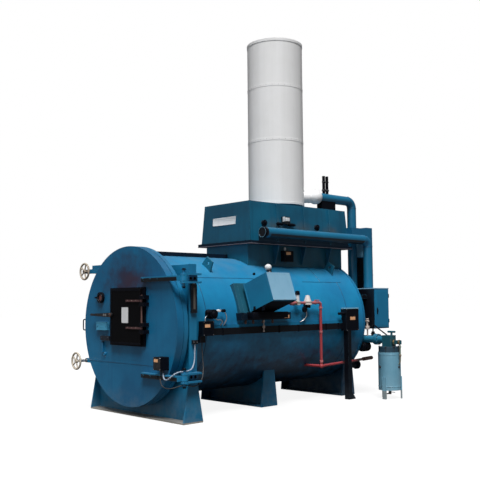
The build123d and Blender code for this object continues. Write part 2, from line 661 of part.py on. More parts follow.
def build_hatch():
    half_w, half_h = HATCH_WIDTH / 2, HATCH_HEIGHT / 2
    x0, x1 = HATCH_X - half_w, HATCH_X + half_w
    z0, z1 = HATCH_Z - half_h, HATCH_Z + half_h
    frame = block(x0, x1, FRAME_FRONT_Y, DOOR_FACE_Y, z0, z1)
    frame = frame - doorway(0, FRAME_FRONT_Y - 1, DOOR_FACE_Y + 1)
    lugs = None
    bore = rod_z(HATCH_PIN_RADIUS + HINGE_FIT, z0, z1, HATCH_PIN_X, HATCH_PIN_Y)
    gap = HATCH_STRAP_HEIGHT / 2 + HINGE_PLAY
    for z in (HATCH_PIN_Z - HATCH_STRAP_OFFSET, HATCH_PIN_Z + HATCH_STRAP_OFFSET):
        for side in (-1, 1):
            a, b = z + side * gap, z + side * (gap + HATCH_LUG_HEIGHT)
            lug = block(HATCH_PIN_X - HATCH_LUG_WIDTH / 2, HATCH_PIN_X + HATCH_LUG_REACH,
                        HATCH_PIN_Y - HATCH_LUG_WIDTH / 2, DOOR_FACE_Y, min(a, b), max(a, b))
            lugs = lug if lugs is None else lugs + lug
    save("hatch_frame", frame + (lugs - bore))
    leaf = block(HATCH_LEAF_X - HATCH_LEAF_WIDTH / 2, HATCH_LEAF_X + HATCH_LEAF_WIDTH / 2,
                 LEAF_FRONT_Y, LEAF_BACK_Y, HATCH_Z - HATCH_LEAF_HEIGHT / 2,
                 HATCH_Z + HATCH_LEAF_HEIGHT / 2)
    save("hatch_plug", doorway(-HATCH_PLUG_CLEARANCE, LEAF_BACK_Y, LEAF_BACK_Y + HATCH_PLUG_DEPTH))
    for z in (HATCH_PIN_Z - HATCH_STRAP_OFFSET, HATCH_PIN_Z + HATCH_STRAP_OFFSET):
        a, b = z - HATCH_STRAP_HEIGHT / 2, z + HATCH_STRAP_HEIGHT / 2
        strap = block(HATCH_PIN_X - HATCH_STRAP_REACH, HATCH_PIN_X,
                      LEAF_FRONT_Y - HATCH_STRAP_THICKNESS, LEAF_FRONT_Y, a, b)
        leaf = leaf + strap + rod_z(HATCH_EYE_RADIUS, a, b, HATCH_PIN_X, HATCH_PIN_Y)
    pin = rod_z(HATCH_PIN_RADIUS, HATCH_PIN_Z - HATCH_PIN_LENGTH / 2,
                HATCH_PIN_Z + HATCH_PIN_LENGTH / 2, HATCH_PIN_X, HATCH_PIN_Y)
    save("hatch_leaf", leaf - pin)
    save("hatch_pins", Compound(children=[pin, handle_pin()]))


def handle_pin():
    """The headed pin that the latch handle turns on."""
    y1 = LEAF_FRONT_Y - HINGE_PLAY
    y0 = y1 - HANDLE_THICKNESS - HINGE_PLAY
    x, z = HANDLE_PIVOT_X, HANDLE_PIVOT_Z
    return (rod_y(HANDLE_PIN_RADIUS, y0, LEAF_FRONT_Y, x, z)
            + rod_y(HANDLE_HEAD_RADIUS, y0 - HANDLE_HEAD_LENGTH, y0, x, z))


def build_handle():
    y1 = LEAF_FRONT_Y - HINGE_PLAY
    y0 = y1 - HANDLE_THICKNESS
    px, pz = HANDLE_PIVOT_X, HANDLE_PIVOT_Z
    tip = px - HANDLE_LENGTH
    points = [(px, pz - HANDLE_ROOT_HEIGHT / 2), (px, pz + HANDLE_ROOT_HEIGHT / 2),
              (tip, pz + HANDLE_TIP_HEIGHT / 2), (tip, pz - HANDLE_TIP_HEIGHT / 2)]
    bar = extrude(Plane.XZ.offset(-y1) * make_face(Polyline(*points, close=True)),
                  HANDLE_THICKNESS)
    bar = bar + rod_y(HANDLE_ROOT_HEIGHT / 2, y0, y1, px, pz)
    bar = bar - rod_y(HANDLE_PIN_RADIUS + HINGE_FIT, y0 - 1, y1 + 1, px, pz)
    save("hatch_handle", bar)



# Clamps
def handwheel():
    """A spoked wheel about Z, its hub bored to half its length for the spindle."""
    rim_circle = WHEEL_RADIUS - WHEEL_RIM_RADIUS
    wheel = Rot(0, 0, 180 / WHEEL_SPOKES) * Torus(rim_circle, WHEEL_RIM_RADIUS)
    root = WHEEL_HUB_RADIUS / 2
    for k in range(WHEEL_SPOKES):
        spoke = Pos((root + rim_circle) / 2, 0, 0) * Rot(0, 90, 0) * Cylinder(
            WHEEL_SPOKE_RADIUS, rim_circle - root)
        wheel = wheel + Rot(0, 0, 360 * k / WHEEL_SPOKES) * spoke
    wheel = wheel + Cylinder(WHEEL_HUB_RADIUS, WHEEL_HUB_LENGTH)
    bore = Pos(0, 0, -WHEEL_HUB_LENGTH / 2) * Cylinder(SPINDLE_RADIUS, WHEEL_HUB_LENGTH)
    return wheel - bore


def clamp_lug(z):
    """A plate from the edge of the door that carries a spindle."""
    edge = sqrt(DOOR_RADIUS ** 2 - (abs(z - AXIS_HEIGHT) + CLAMP_LUG_HEIGHT / 2) ** 2)
    y1 = DOOR_FACE_Y + CLAMP_LUG_THICKNESS
    lug = block(CLAMP_X - CLAMP_LUG_HEIGHT / 2, -edge + CLAMP_LUG_HEIGHT, DOOR_FACE_Y, y1,
                z - CLAMP_LUG_HEIGHT / 2, z + CLAMP_LUG_HEIGHT / 2)
    lug = lug - rod_y(DOOR_RADIUS, DOOR_FACE_Y - 1, y1 + 1, 0, AXIS_HEIGHT)
    bore = rod_y(SPINDLE_RADIUS + HINGE_FIT, DOOR_FACE_Y - 1, y1 + 1, CLAMP_X, z)
    return lug - bore


def build_clamp(name, z, forward):
    wheel_y = DOOR_FACE_Y - forward
    spindle = rod_y(SPINDLE_RADIUS, wheel_y, DOOR_FACE_Y + SPINDLE_TAIL, CLAMP_X, z)
    collar_y = DOOR_FACE_Y - HINGE_PLAY
    collar = rod_y(SPINDLE_COLLAR_RADIUS, collar_y - SPINDLE_COLLAR_LENGTH, collar_y, CLAMP_X, z)
    save(name + "_spindle", spindle + collar)
    save(name + "_handwheel", Pos(CLAMP_X, wheel_y, z) * Rot(90, 0, 0) * handwheel())




# Afterburner chamber
def tapered_box(foot_half, top_half, front, rear, front_in, z0, z1):
    """A box with sloping sides."""
    low = Pos(0, (front + rear) / 2, z0) * Rectangle(2 * foot_half, rear - front)
    high = Pos(0, (front + rear) / 2, z1) * Rectangle(2 * top_half, rear - front - 2 * front_in)
    return loft([low.face(), high.face()])


def build_chamber():
    half, front, rear = NECK_HALF_WIDTH, CHAMBER_FRONT_Y, CHAMBER_REAR_Y
    plate, wall = CHAMBER_PLATE, CHAMBER_PLATE + CHAMBER_LINING
    barrel = rod_y(SHELL_RADIUS, front - 1, SHELL_REAR_Y, 0, AXIS_HEIGHT)
    ring = rod_y(REAR_RING_RADIUS, SHELL_REAR_Y - REAR_RING_WIDTH, SHELL_REAR_Y, 0, AXIS_HEIGHT)
    low = NECK_LOW_Z
    neck_rear = NECK_REAR_Y
    outer = block(-half, half, front, neck_rear, low, LIP_Z - LIP_THICKNESS)
    inner = block(-half + plate, half - plate, front + plate, neck_rear - plate, low - 1, LIP_Z)
    core = block(-half + wall, half - wall, front + wall, THROAT_REAR_Y, low - 1, LIP_Z)
    behind = block(-half - 1, half + 1, SHELL_REAR_Y, neck_rear + 1, low - 1, NECK_FLOOR_Z)
    floor = block(-half, half, SHELL_REAR_Y, neck_rear, NECK_FLOOR_Z, NECK_FLOOR_Z + plate)
    casing = (outer - inner) - barrel - ring - behind
    save("neck_casing", casing + (floor - ring))
    lining = block(-half + plate, half - plate, front + plate, neck_rear - plate, low,
                   LIP_Z - LIP_THICKNESS)
    neck_lining = lining - core - barrel - ring - behind - floor
    lip = block(-LIP_HALF_WIDTH, LIP_HALF_WIDTH, front - LIP_OVERHANG, rear + LIP_OVERHANG,
                LIP_Z - LIP_THICKNESS, LIP_Z + LIP_THICKNESS)
    save("chamber_flange", lip - block(-half + wall, half - wall, front + wall, THROAT_REAR_Y,
                                       LIP_Z - 2 * LIP_THICKNESS, LIP_Z + 2 * LIP_THICKNESS))
    z0, z1 = LIP_Z + LIP_THICKNESS, HOOD_TOP_Z - ROOF_THICKNESS
    slope = HOOD_SLOPE
    hood_out = tapered_box(HOOD_FOOT_HALF_WIDTH, HOOD_TOP_HALF_WIDTH, front - slope, rear + slope,
                           slope, z0, z1)
    hood_in = tapered_box(HOOD_FOOT_HALF_WIDTH - plate, HOOD_TOP_HALF_WIDTH - plate,
                          front - slope + plate, rear + slope - plate, slope, z0, z1)
    hood_core = block(-half + wall, half - wall, front + wall, rear - wall, z0, z1)
    save("hood_casing", hood_out - hood_in)
    save("chamber_linings", Compound(children=[neck_lining, hood_in - hood_core]))
    roof = block(-HOOD_TOP_HALF_WIDTH, HOOD_TOP_HALF_WIDTH, front, rear, z1, HOOD_TOP_Z)
    roof = roof + rod_z(COLLAR_RADIUS, HOOD_TOP_Z, HOOD_TOP_Z + COLLAR_HEIGHT, 0, STACK_Y)
    roof = roof - rod_z(STACK_RADIUS - STACK_JACKET, HOOD_TOP_Z, HOOD_TOP_Z + COLLAR_HEIGHT + 1,
                        0, STACK_Y)
    flue = rod_z(STACK_RADIUS - STACK_JACKET - FLUE_PLATE, z1 - 1, HOOD_TOP_Z + 1, 0, STACK_Y)
    save("hood_roof", roof - flue)


def rib_places():
    return [RIB_FIRST_Y + RIB_PITCH * k for k in range(RIB_COUNT)]


def build_ribs():
    z0, z1 = LIP_Z + LIP_THICKNESS, HOOD_TOP_Z - ROOF_THICKNESS
    foot, top = HOOD_FOOT_HALF_WIDTH, HOOD_TOP_HALF_WIDTH
    points = [(foot, z0), (foot + RIB_DEPTH, z0), (top + RIB_DEPTH, z1), (top, z1)]
    face = make_face(Polyline(*points, close=True))
    ribs = [Pos(0, y + RIB_THICKNESS / 2, 0) * extrude(Plane.XZ * face, RIB_THICKNESS)
            for y in rib_places()]
    low = GUSSET_LOW_Z
    points = [(NECK_HALF_WIDTH, low), (NECK_HALF_WIDTH, LIP_Z - LIP_THICKNESS),
              (LIP_HALF_WIDTH - GUSSET_LIP_INSET, LIP_Z - LIP_THICKNESS),
              (NECK_HALF_WIDTH + GUSSET_FOOT, low)]
    face = make_face(Polyline(*points, close=True))
    barrel = rod_y(SHELL_RADIUS, CHAMBER_FRONT_Y, CHAMBER_REAR_Y, 0, AXIS_HEIGHT)
    ribs = ribs + [Pos(0, y + RIB_THICKNESS / 2, 0) * extrude(Plane.XZ * face, RIB_THICKNESS)
                   - barrel for y in rib_places()]
    save("chamber_ribs", Compound(children=ribs + [mirror(rib, Plane.YZ) for rib in ribs]))


# Flue stack
def stack_tube(outer, inner, z0, z1):
    return rod_z(outer, z0, z1, 0, STACK_Y) - rod_z(inner, z0 - 1, z1 + 1, 0, STACK_Y)


def build_stack():
    inner = STACK_RADIUS - STACK_JACKET
    foot = HOOD_TOP_Z + COLLAR_HEIGHT
    save("flue_liner", stack_tube(inner, inner - FLUE_PLATE, HOOD_TOP_Z, STACK_TOP_Z))
    cladding = stack_tube(STACK_RADIUS, inner, foot, STACK_TOP_Z - STACK_RIM_HEIGHT)
    save("stack_cladding", cladding + stack_tube(STACK_RADIUS + STACK_RIM_PROUD, inner,
                                                 STACK_TOP_Z - STACK_RIM_HEIGHT, STACK_TOP_Z))
    save("stack_branch", branch_stub() - rod_z(STACK_RADIUS, foot, STACK_TOP_Z, 0, STACK_Y))


def branch_stub():
    """The clad elbow between the stack and the upper air pipe."""
    ball_y = BRANCH_START_Y - BRANCH_BALL_BACK
    dx, dy = BRANCH_X, ball_y - STACK_Y
    length = sqrt(dx * dx + dy * dy)
    turn = degrees(atan2(dy, dx))
    bar = Rot(0, 0, turn) * Pos(length / 2, 0, 0) * Rot(0, 90, 0) * Cylinder(BRANCH_STUB_RADIUS,
                                                                             length)
    reach = 2 * BRANCH_BALL_RADIUS
    ball = Pos(BRANCH_X, ball_y, BRANCH_Z) * Sphere(BRANCH_BALL_RADIUS)
    ball = ball - block(BRANCH_X - reach, BRANCH_X + reach, BRANCH_START_Y, BRANCH_START_Y + reach,
                        BRANCH_Z - reach, BRANCH_Z + reach)
    return Pos(0, STACK_Y, BRANCH_Z) * bar + ball



# Burner
def radial_box(r0, r1, width, height):
    return radial(BURNER_ANGLE, Pos((r0 + r1) / 2, BURNER_Y, 0) * Box(r1 - r0, width, height))


def burner_pad():
    """The thick plate on the barrel that the burner is bolted to."""
    pad = radial_box(BURNER_PAD_ROOT, BURNER_PAD_RADIUS, BURNER_PAD_WIDTH, BURNER_PAD_HEIGHT)
    return pad - barrel_solid()


def build_burner():
    pad = burner_pad()
    bore = burner_port(BURNER_PORT_RADIUS)
    neck = Pos(BURNER_PAD_RADIUS + BURNER_NECK_LENGTH / 2, BURNER_Y, 0) * Rot(0, 90, 0) * Cylinder(
        BURNER_NECK_RADIUS, BURNER_NECK_LENGTH)
    save("burner_mount", pad + radial(BURNER_ANGLE, neck) - bore)
    save("burner_box", radial_box(BURNER_INNER_RADIUS, BURNER_OUTER_RADIUS, BURNER_WIDTH,
                                  BURNER_HEIGHT))


# Fan cabinet, its brackets and the air pipes
def round_pipe(points, bend, radius):
    line = FilletPolyline(*points, radius=bend)
    return sweep(Plane(origin=line @ 0, z_dir=line % 0) * Circle(radius), path=line)


def build_air_side():
    cabinet = block(CABINET_LEFT_X, CABINET_RIGHT_X, CABINET_FRONT_Y, CABINET_REAR_Y,
                    CABINET_FLOOR_Z, CABINET_TOP_Z)
    for x in (CABINET_LEFT_X + BRACKET_INSET, CABINET_RIGHT_X - BRACKET_INSET - BRACKET_WIDTH * 2):
        for z in (CABINET_FLOOR_Z + BRACKET_INSET, CABINET_TOP_Z - BRACKET_INSET * 2):
            cabinet = cabinet + block(x, x + BRACKET_WIDTH, SHELL_REAR_Y, CABINET_FRONT_Y, z,
                                      z + BRACKET_WIDTH)
    save("fan_cabinet", cabinet)
    manifold = round_pipe([(MANIFOLD_X, MANIFOLD_FRONT_Y, MANIFOLD_Z),
                           (MANIFOLD_X, RISER_Y, MANIFOLD_Z),
                           (MANIFOLD_X, RISER_Y, CABINET_TOP_Z)], AIR_BEND_RADIUS, AIR_PIPE_RADIUS)
    branch = round_pipe([(BRANCH_X, BRANCH_START_Y, BRANCH_Z),
                         (BRANCH_X, RISER_Y, BRANCH_Z),
                         (BRANCH_X, RISER_Y, CABINET_TOP_Z)], AIR_BEND_RADIUS, AIR_PIPE_RADIUS)
    save("air_pipes", Compound(children=[manifold, branch]))
    duct = block(DUCT_LEFT_X, DUCT_RIGHT_X, CABINET_REAR_Y, CABINET_REAR_Y + DUCT_DEPTH,
                 DUCT_BOTTOM_Z, DUCT_TOP_Z)
    cross = block(DUCT_RIGHT_X - CROSS_WIDTH, DUCT_RIGHT_X, CHAMBER_REAR_Y - HOOD_SLOPE,
                  CABINET_REAR_Y, DUCT_TOP_Z - CROSS_HEIGHT, DUCT_TOP_Z - CROSS_DROP)
    hood = tapered_box(HOOD_FOOT_HALF_WIDTH * 2, HOOD_TOP_HALF_WIDTH * 2,
                       CHAMBER_FRONT_Y - HOOD_SLOPE, CHAMBER_REAR_Y + HOOD_SLOPE, HOOD_SLOPE,
                       LIP_Z + LIP_THICKNESS, HOOD_TOP_Z - ROOF_THICKNESS)
    save("air_riser", duct + (cross - hood))


# Cable tray with its boxes and column
def barrel_solid():
    """The outer shape of the barrel, to seat pieces on it."""
    return rod_y(SHELL_RADIUS, SHELL_FRONT_Y, SHELL_REAR_Y, 0, AXIS_HEIGHT)


def build_tray():
    barrel = barrel_solid()
    inner = SHELL_RADIUS - TRAY_DEPTH
    front, rear = FRONT_BOX_Y + FRONT_BOX_LENGTH, REAR_BOX_Y
    trunk = block(inner, TRAY_OUTER_X, front, rear, TRAY_BOTTOM_Z, TRAY_TOP_Z)
    ledge = block(inner, TRAY_OUTER_X - TRAY_LEDGE_SETBACK, front, rear, TRAY_TOP_Z,
                  TRAY_TOP_Z + TRAY_LEDGE_HEIGHT)
    save("cable_tray", trunk + ledge - barrel)
    front_box = block(inner, BOX_OUTER_X, FRONT_BOX_Y, front, FRONT_BOX_BOTTOM_Z, FRONT_BOX_TOP_Z)
    drop = block(inner, TRAY_OUTER_X, FRONT_BOX_Y, FRONT_BOX_Y + FRONT_BOX_DROP_WIDTH,
                 FRONT_BOX_BOTTOM_Z - FRONT_BOX_DROP, FRONT_BOX_BOTTOM_Z)
    rear_box = block(inner, BOX_OUTER_X, rear, rear + REAR_BOX_LENGTH, REAR_BOX_BOTTOM_Z,
                     REAR_BOX_TOP_Z)
    x0, x1 = SHELL_RADIUS + COLUMN_GAP, BOX_OUTER_X
    y0, y1 = rear + COLUMN_SETBACK, rear + COLUMN_SETBACK + COLUMN_WIDTH
    foot = y1 + COLUMN_FOOT_REACH
    points = [(y0, 0), (foot, 0), (foot, COLUMN_FOOT_EDGE), (y1, COLUMN_FOOT_HEIGHT),
              (y1, REAR_BOX_BOTTOM_Z), (y0, REAR_BOX_BOTTOM_Z)]
    column = extrude(Plane.YZ.offset(x0) * make_face(Polyline(*points, close=True)), x1 - x0)
    save("tray_boxes", Compound(children=[front_box + drop - barrel, rear_box - barrel + column]))


# Trim on the barrel
def build_barrel_trim():
    barrel = barrel_solid()
    crown = AXIS_HEIGHT + SHELL_RADIUS
    rail = block(-RAIL_WIDTH / 2, RAIL_WIDTH / 2, RAIL_FRONT_Y, CHAMBER_FRONT_Y,
                 crown - RAIL_ROOT, crown + RAIL_HEIGHT)
    save("crown_rail", rail - barrel)
    foot, top = LUG_FOOT / 2, LUG_TOP / 2
    inner, outer = SHELL_RADIUS - LUG_ROOT, SHELL_RADIUS + LUG_HEIGHT
    points = [(inner, -foot), (SHELL_RADIUS, -foot), (outer, -top), (outer, top),
              (SHELL_RADIUS, foot), (inner, foot)]
    plate = extrude(Plane.XZ * make_face(Polyline(*points, close=True)), LUG_THICKNESS / 2,
                    both=True)
    plate = plate - rod_y(LUG_HOLE_RADIUS, -LUG_THICKNESS, LUG_THICKNESS,
                          SHELL_RADIUS + LUG_HOLE_HEIGHT, 0)
    right = [Pos(0, y, 0) * radial(LUG_ANGLE, plate) - barrel for y in (LUG_FRONT_Y, LUG_REAR_Y)]
    save("lifting_lugs", Compound(children=right + [mirror(lug, Plane.YZ) for lug in right]))
    drain = rod_y(DRAIN_RADIUS, SHELL_REAR_Y, SHELL_REAR_Y + DRAIN_LENGTH, DRAIN_X, DRAIN_Z)
    cap = rod_y(DRAIN_CAP_RADIUS, SHELL_REAR_Y + DRAIN_LENGTH - DRAIN_CAP_LENGTH,
                SHELL_REAR_Y + DRAIN_LENGTH, DRAIN_X, DRAIN_Z)
    save("drain_port", drain + cap)
    face = FRONT_HALF_WIDTH
    gauge = block(face, face + GAUGE_DEPTH, FRONT_SADDLE_Y - GAUGE_WIDTH / 2,
                  FRONT_SADDLE_Y + GAUGE_WIDTH / 2, GAUGE_BOTTOM_Z, GAUGE_TOP_Z)
    clip = block(face, face + CLIP_DEPTH, CLIP_FRONT_Y, CLIP_REAR_Y, CLIP_BOTTOM_Z, CLIP_TOP_Z)
    save("post_fittings", Compound(children=[gauge, clip]))


# Fuel line
def build_fuel_line():
    x, z = FUEL_X, FUEL_Z
    side = BURNER_Y + BURNER_WIDTH / 2
    feed = round_pipe([(FUEL_BURNER_X, side, z), (FUEL_BURNER_X, FUEL_FRONT_Y - FUEL_BEND * 2, z),
                       (x, FUEL_FRONT_Y, z), (x, FUEL_DROP_Y, z), (x, FUEL_DROP_Y, FUEL_TEE_Z)],
                      FUEL_BEND, FUEL_RADIUS)
    reach = sqrt(SHELL_RADIUS ** 2 - (AXIS_HEIGHT - FUEL_TEE_Z) ** 2)
    branch = rod_x(FUEL_RADIUS, reach - FUEL_BRANCH_ROOT, x, FUEL_DROP_Y, FUEL_TEE_Z)
    dx, dy = FUEL_END_X - x, FUEL_END_Y - FUEL_DROP_Y
    run = sqrt(dx * dx + dy * dy)
    turn = degrees(atan2(dy, dx))
    bar = Pos(run / 2, 0, 0) * Rot(0, 90, 0) * Cylinder(FUEL_RADIUS, run)
    stub = Pos(run - FUEL_STUB_LENGTH / 2, 0, 0) * Rot(0, 90, 0) * Cylinder(FUEL_STUB_RADIUS,
                                                                          FUEL_STUB_LENGTH)
    rear = Pos(x, FUEL_DROP_Y, FUEL_TEE_Z) * Rot(0, 0, turn) * (bar + stub)
    knuckle = Pos(x, FUEL_DROP_Y, FUEL_TEE_Z) * Sphere(FUEL_TEE_RADIUS)
    pipe = feed + branch + rear + knuckle - barrel_solid()
    save("fuel_pipe", pipe)
    line = rod_y(FUEL_RADIUS, FUEL_FRONT_Y + FUEL_BEND, FUEL_DROP_Y - FUEL_BEND, x, z)
    solenoid = rod_z(SOLENOID_RADIUS, z, z + SOLENOID_HEIGHT, x, SOLENOID_Y)
    solenoid = solenoid + block(x - SOLENOID_RADIUS, x + SOLENOID_RADIUS,
                                SOLENOID_Y - SOLENOID_RADIUS, SOLENOID_Y + SOLENOID_RADIUS,
                                z - SOLENOID_RADIUS, z + SOLENOID_RADIUS)
    cone = Pos(x, REGULATOR_Y, z + REGULATOR_HEIGHT / 2) * Cone(REGULATOR_RADIUS,
                                                               REGULATOR_TOP_RADIUS,
                                                               REGULATOR_HEIGHT)
    regulator = cone + rod_z(REGULATOR_RADIUS, z - SOLENOID_RADIUS, z, x, REGULATOR_Y)
    save("fuel_valves", Compound(children=[solenoid - line, regulator - line]))


# Water line and filter vessel
def build_water_side():
    y, z = WATER_Y, WATER_Z
    line = round_pipe([(WATER_START_X, SHELL_REAR_Y, z), (WATER_START_X, y, z), (VESSEL_X, y, z)],
                      WATER_BEND, WATER_RADIUS)
    flange = rod_x(WATER_FLANGE_RADIUS, WATER_FLANGE_X - WATER_FLANGE_LENGTH / 2,
                   WATER_FLANGE_X + WATER_FLANGE_LENGTH / 2, y, z)
    motor = rod_y(MOTOR_RADIUS, y - MOTOR_LENGTH / 2, y + MOTOR_LENGTH / 2, MOTOR_X,
                  z - WATER_RADIUS - MOTOR_RADIUS + MOTOR_SINK)
    head_bottom = VESSEL_LID_Z
    head = block(VESSEL_X - HEAD_WIDTH / 2, VESSEL_X + HEAD_WIDTH / 2, VESSEL_Y - HEAD_WIDTH / 2,
                 VESSEL_Y + HEAD_WIDTH / 2, head_bottom, z + WATER_RADIUS + HEAD_RISE)
    stem = rod_z(HEAD_STEM_RADIUS, z, HEAD_TOP_Z, VESSEL_X + HEAD_STEM_OFFSET, VESSEL_Y)
    arm = block(VESSEL_X, VESSEL_X + HEAD_ARM_REACH, VESSEL_Y - HEAD_STEM_RADIUS,
                VESSEL_Y + HEAD_STEM_RADIUS, z - WATER_RADIUS, z)
    grip = rod_x(HEAD_STEM_RADIUS, VESSEL_X + HEAD_STEM_OFFSET - HEAD_GRIP / 2,
                 VESSEL_X + HEAD_STEM_OFFSET + HEAD_GRIP / 2, VESSEL_Y, HEAD_TOP_Z)
    save("water_pipe", line + flange - head)
    save("water_motor", motor - line)
    save("vessel_head", head + stem + arm + grip)
    body = rod_z(VESSEL_RADIUS, VESSEL_BOTTOM_Z, VESSEL_TOP_Z, VESSEL_X, VESSEL_Y)
    lid = rod_z(VESSEL_LID_RADIUS, VESSEL_TOP_Z, VESSEL_LID_Z, VESSEL_X, VESSEL_Y)
    drain = rod_z(VESSEL_DRAIN_RADIUS, VESSEL_BOTTOM_Z - VESSEL_DRAIN_LENGTH, VESSEL_BOTTOM_Z,
                  VESSEL_X, VESSEL_Y)
    vessel = body + lid + drain
    for k in range(VESSEL_LEGS):
        leg = block(VESSEL_RADIUS - LEG_THICKNESS, VESSEL_RADIUS + LEG_THICKNESS, -LEG_WIDTH / 2,
                    LEG_WIDTH / 2, 0, LEG_HEIGHT)
        turn = Rot(0, 0, VESSEL_LEG_ANGLE + 360 / VESSEL_LEGS * k)
        vessel = vessel + Pos(VESSEL_X, VESSEL_Y, 0) * turn * leg
    save("filter_vessel", vessel)


# Small boxes and fittings
def build_small_boxes():
    inner = SHELL_RADIUS - TRAY_DEPTH
    trunk = block(inner, TRUNK_OUTER_X, TRUNK_FRONT_Y, TRUNK_REAR_Y, TRUNK_BOTTOM_Z, TRUNK_TOP_Z)
    save("burner_trunk", trunk - barrel_solid() - burner_pad())
    half = NECK_HALF_WIDTH
    neck_box = block(half, half + NECK_BOX_DEPTH, NECK_BOX_Y - NECK_BOX_WIDTH / 2,
                     NECK_BOX_Y + NECK_BOX_WIDTH / 2, NECK_BOX_BOTTOM_Z, NECK_BOX_TOP_Z)
    hood = tapered_box(HOOD_FOOT_HALF_WIDTH, HOOD_TOP_HALF_WIDTH,
                       CHAMBER_FRONT_Y - HOOD_SLOPE, CHAMBER_REAR_Y + HOOD_SLOPE, HOOD_SLOPE,
                       LIP_Z + LIP_THICKNESS, HOOD_TOP_Z - ROOF_THICKNESS)
    ports = []
    for y in PORT_PLACES:
        port = rod_x(PORT_RADIUS, HOOD_TOP_HALF_WIDTH, HOOD_FOOT_HALF_WIDTH + PORT_PROUD, y, PORT_Z)
        ports.append(port - hood)
    head = block(HOOD_TOP_HALF_WIDTH, HOOD_FOOT_HALF_WIDTH + SENSOR_DEPTH,
                 SENSOR_Y - SENSOR_WIDTH / 2, SENSOR_Y + SENSOR_WIDTH / 2,
                 SENSOR_Z - SENSOR_WIDTH / 2, SENSOR_Z + SENSOR_WIDTH / 2)
    save("chamber_fittings", Compound(children=ports + [neck_box, head - hood]))
    pipe = rod_y(AIR_PIPE_RADIUS, BRANCH_START_Y, RISER_Y, BRANCH_X, BRANCH_Z)
    cradle = block(BRANCH_X - CRADLE_WIDTH / 2, BRANCH_X + CRADLE_WIDTH / 2, CRADLE_FRONT_Y,
                   CRADLE_FRONT_Y + CRADLE_LENGTH, HOOD_TOP_Z, BRANCH_Z)
    save("pipe_cradle", cradle - pipe)
    actuators = []
    for k in range(ACTUATOR_COUNT):
        y = ACTUATOR_Y + ACTUATOR_PITCH * k
        post = rod_z(ACTUATOR_RADIUS, BRANCH_Z, ACTUATOR_TOP_Z, BRANCH_X, y)
        actuators.append(post - pipe)
    save("flue_actuators", Compound(children=actuators))
    body = rod_x(FLANK_HEAD_RADIUS, inner, FLANK_HEAD_OUTER_X, FLANK_HEAD_Y, FLANK_HEAD_Z)
    save("flank_sensor", body - barrel_solid())


# Fittings on the door
def build_door_fittings():
    face = DOOR_FACE_Y
    box = block(SWITCH_X, SWITCH_X + SWITCH_WIDTH, face - SWITCH_DEPTH, face, SWITCH_Z,
                SWITCH_Z + SWITCH_HEIGHT)
    save("door_switch_box", box)
    port = ring_y(SIGHT_RADIUS, SIGHT_BORE_RADIUS, face - SIGHT_DEPTH, face - SIGHT_GLASS_Y,
                  SIGHT_X, SIGHT_Z)
    port = port + rod_y(SIGHT_RADIUS, face - SIGHT_GLASS_Y, face, SIGHT_X, SIGHT_Z)
    catch = block(CATCH_X - CATCH_WIDTH / 2, CATCH_X + CATCH_WIDTH / 2, face - CATCH_DEPTH, face,
                  CATCH_Z - CATCH_HEIGHT / 2, CATCH_Z + CATCH_HEIGHT / 2)
    latch = block(LATCH_X, LATCH_X + LATCH_WIDTH, face - LATCH_DEPTH, face,
                  LATCH_Z - LATCH_HEIGHT / 2, LATCH_Z + LATCH_HEIGHT / 2)
    bar = block(BAR_X - BAR_WIDTH / 2, BAR_X + BAR_WIDTH / 2, face - BAR_WIDTH, face, BAR_BOTTOM_Z,
                BAR_TOP_Z)
    save("sight_port", port)
    edge = sqrt(DOOR_RADIUS ** 2 - (GRAB_TOP_Z - AXIS_HEIGHT + GRAB_RADIUS) ** 2) - GRAB_ROOT
    y = face + GRAB_INSET
    loop = round_pipe([(-edge, y, GRAB_BOTTOM_Z), (-edge - GRAB_REACH - GRAB_ROOT, y, GRAB_BOTTOM_Z),
                       (-edge - GRAB_REACH - GRAB_ROOT, y, GRAB_TOP_Z), (-edge, y, GRAB_TOP_Z)],
                      GRAB_BEND, GRAB_RADIUS)
    grab = loop - rod_y(DOOR_RADIUS, face - 1, DOOR_BACK_Y + 1, 0, AXIS_HEIGHT)
    save("door_fittings", Compound(children=[catch, latch, bar, grab]))


# Cables between the door and the furnace
def cable(name, points, radius, clearance):
    """A tube of straight runs and tangent arcs, with each arc as large as its runs allow."""
    spots = [Vector(*p) for p in points]
    radii = []
    for a, b, c in zip(spots, spots[1:], spots[2:]):
        turn = radians((b - a).get_angle(c - b))
        radii.append(0.45 * min((b - a).length, (c - b).length) / tan(turn / 2))
    print(name, "radii", [round(r) for r in radii])
    line = FilletPolyline(*points, radius=radii)
    tube = sweep(Plane(origin=line @ 0, z_dir=line % 0) * Circle(radius), path=line)
    pin = rod_z(HINGE_PIN_RADIUS + clearance, BASE_THICKNESS, POST_HEIGHT, HINGE_X, HINGE_Y)
    save(name, tube - pin)


def build_cables():
    cable("door_conduit", DOOR_CONDUIT_ROUTE, CONDUIT_RADIUS, SEAT_GAP)
    cable("post_conduit", POST_CONDUIT_ROUTE, CONDUIT_RADIUS, 0)
    cable("door_lead", DOOR_LEAD_ROUTE, LEAD_RADIUS, SEAT_GAP)
    cable("post_lead", POST_LEAD_ROUTE, LEAD_RADIUS, 0)


build_barrel()
build_front_frame()
build_saddle("middle_saddle", 0.0)
build_saddle("rear_saddle", REAR_SADDLE_Y)
build_door()
build_hinge_brackets()
build_hatch()
build_handle()
build_clamp("upper", UPPER_CLAMP_Z, UPPER_WHEEL_FORWARD)
build_clamp("lower", LOWER_CLAMP_Z, LOWER_WHEEL_FORWARD)
build_chamber()
build_ribs()
build_stack()
build_burner()
build_air_side()
build_tray()
build_barrel_trim()
build_fuel_line()
build_water_side()
build_small_boxes()
build_door_fittings()
build_cables()
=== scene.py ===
import logging
from contextlib import contextmanager
from dataclasses import dataclass, field
from enum import Enum
from math import cos, pi, radians, sin
from typing import Callable, Iterator, Sequence

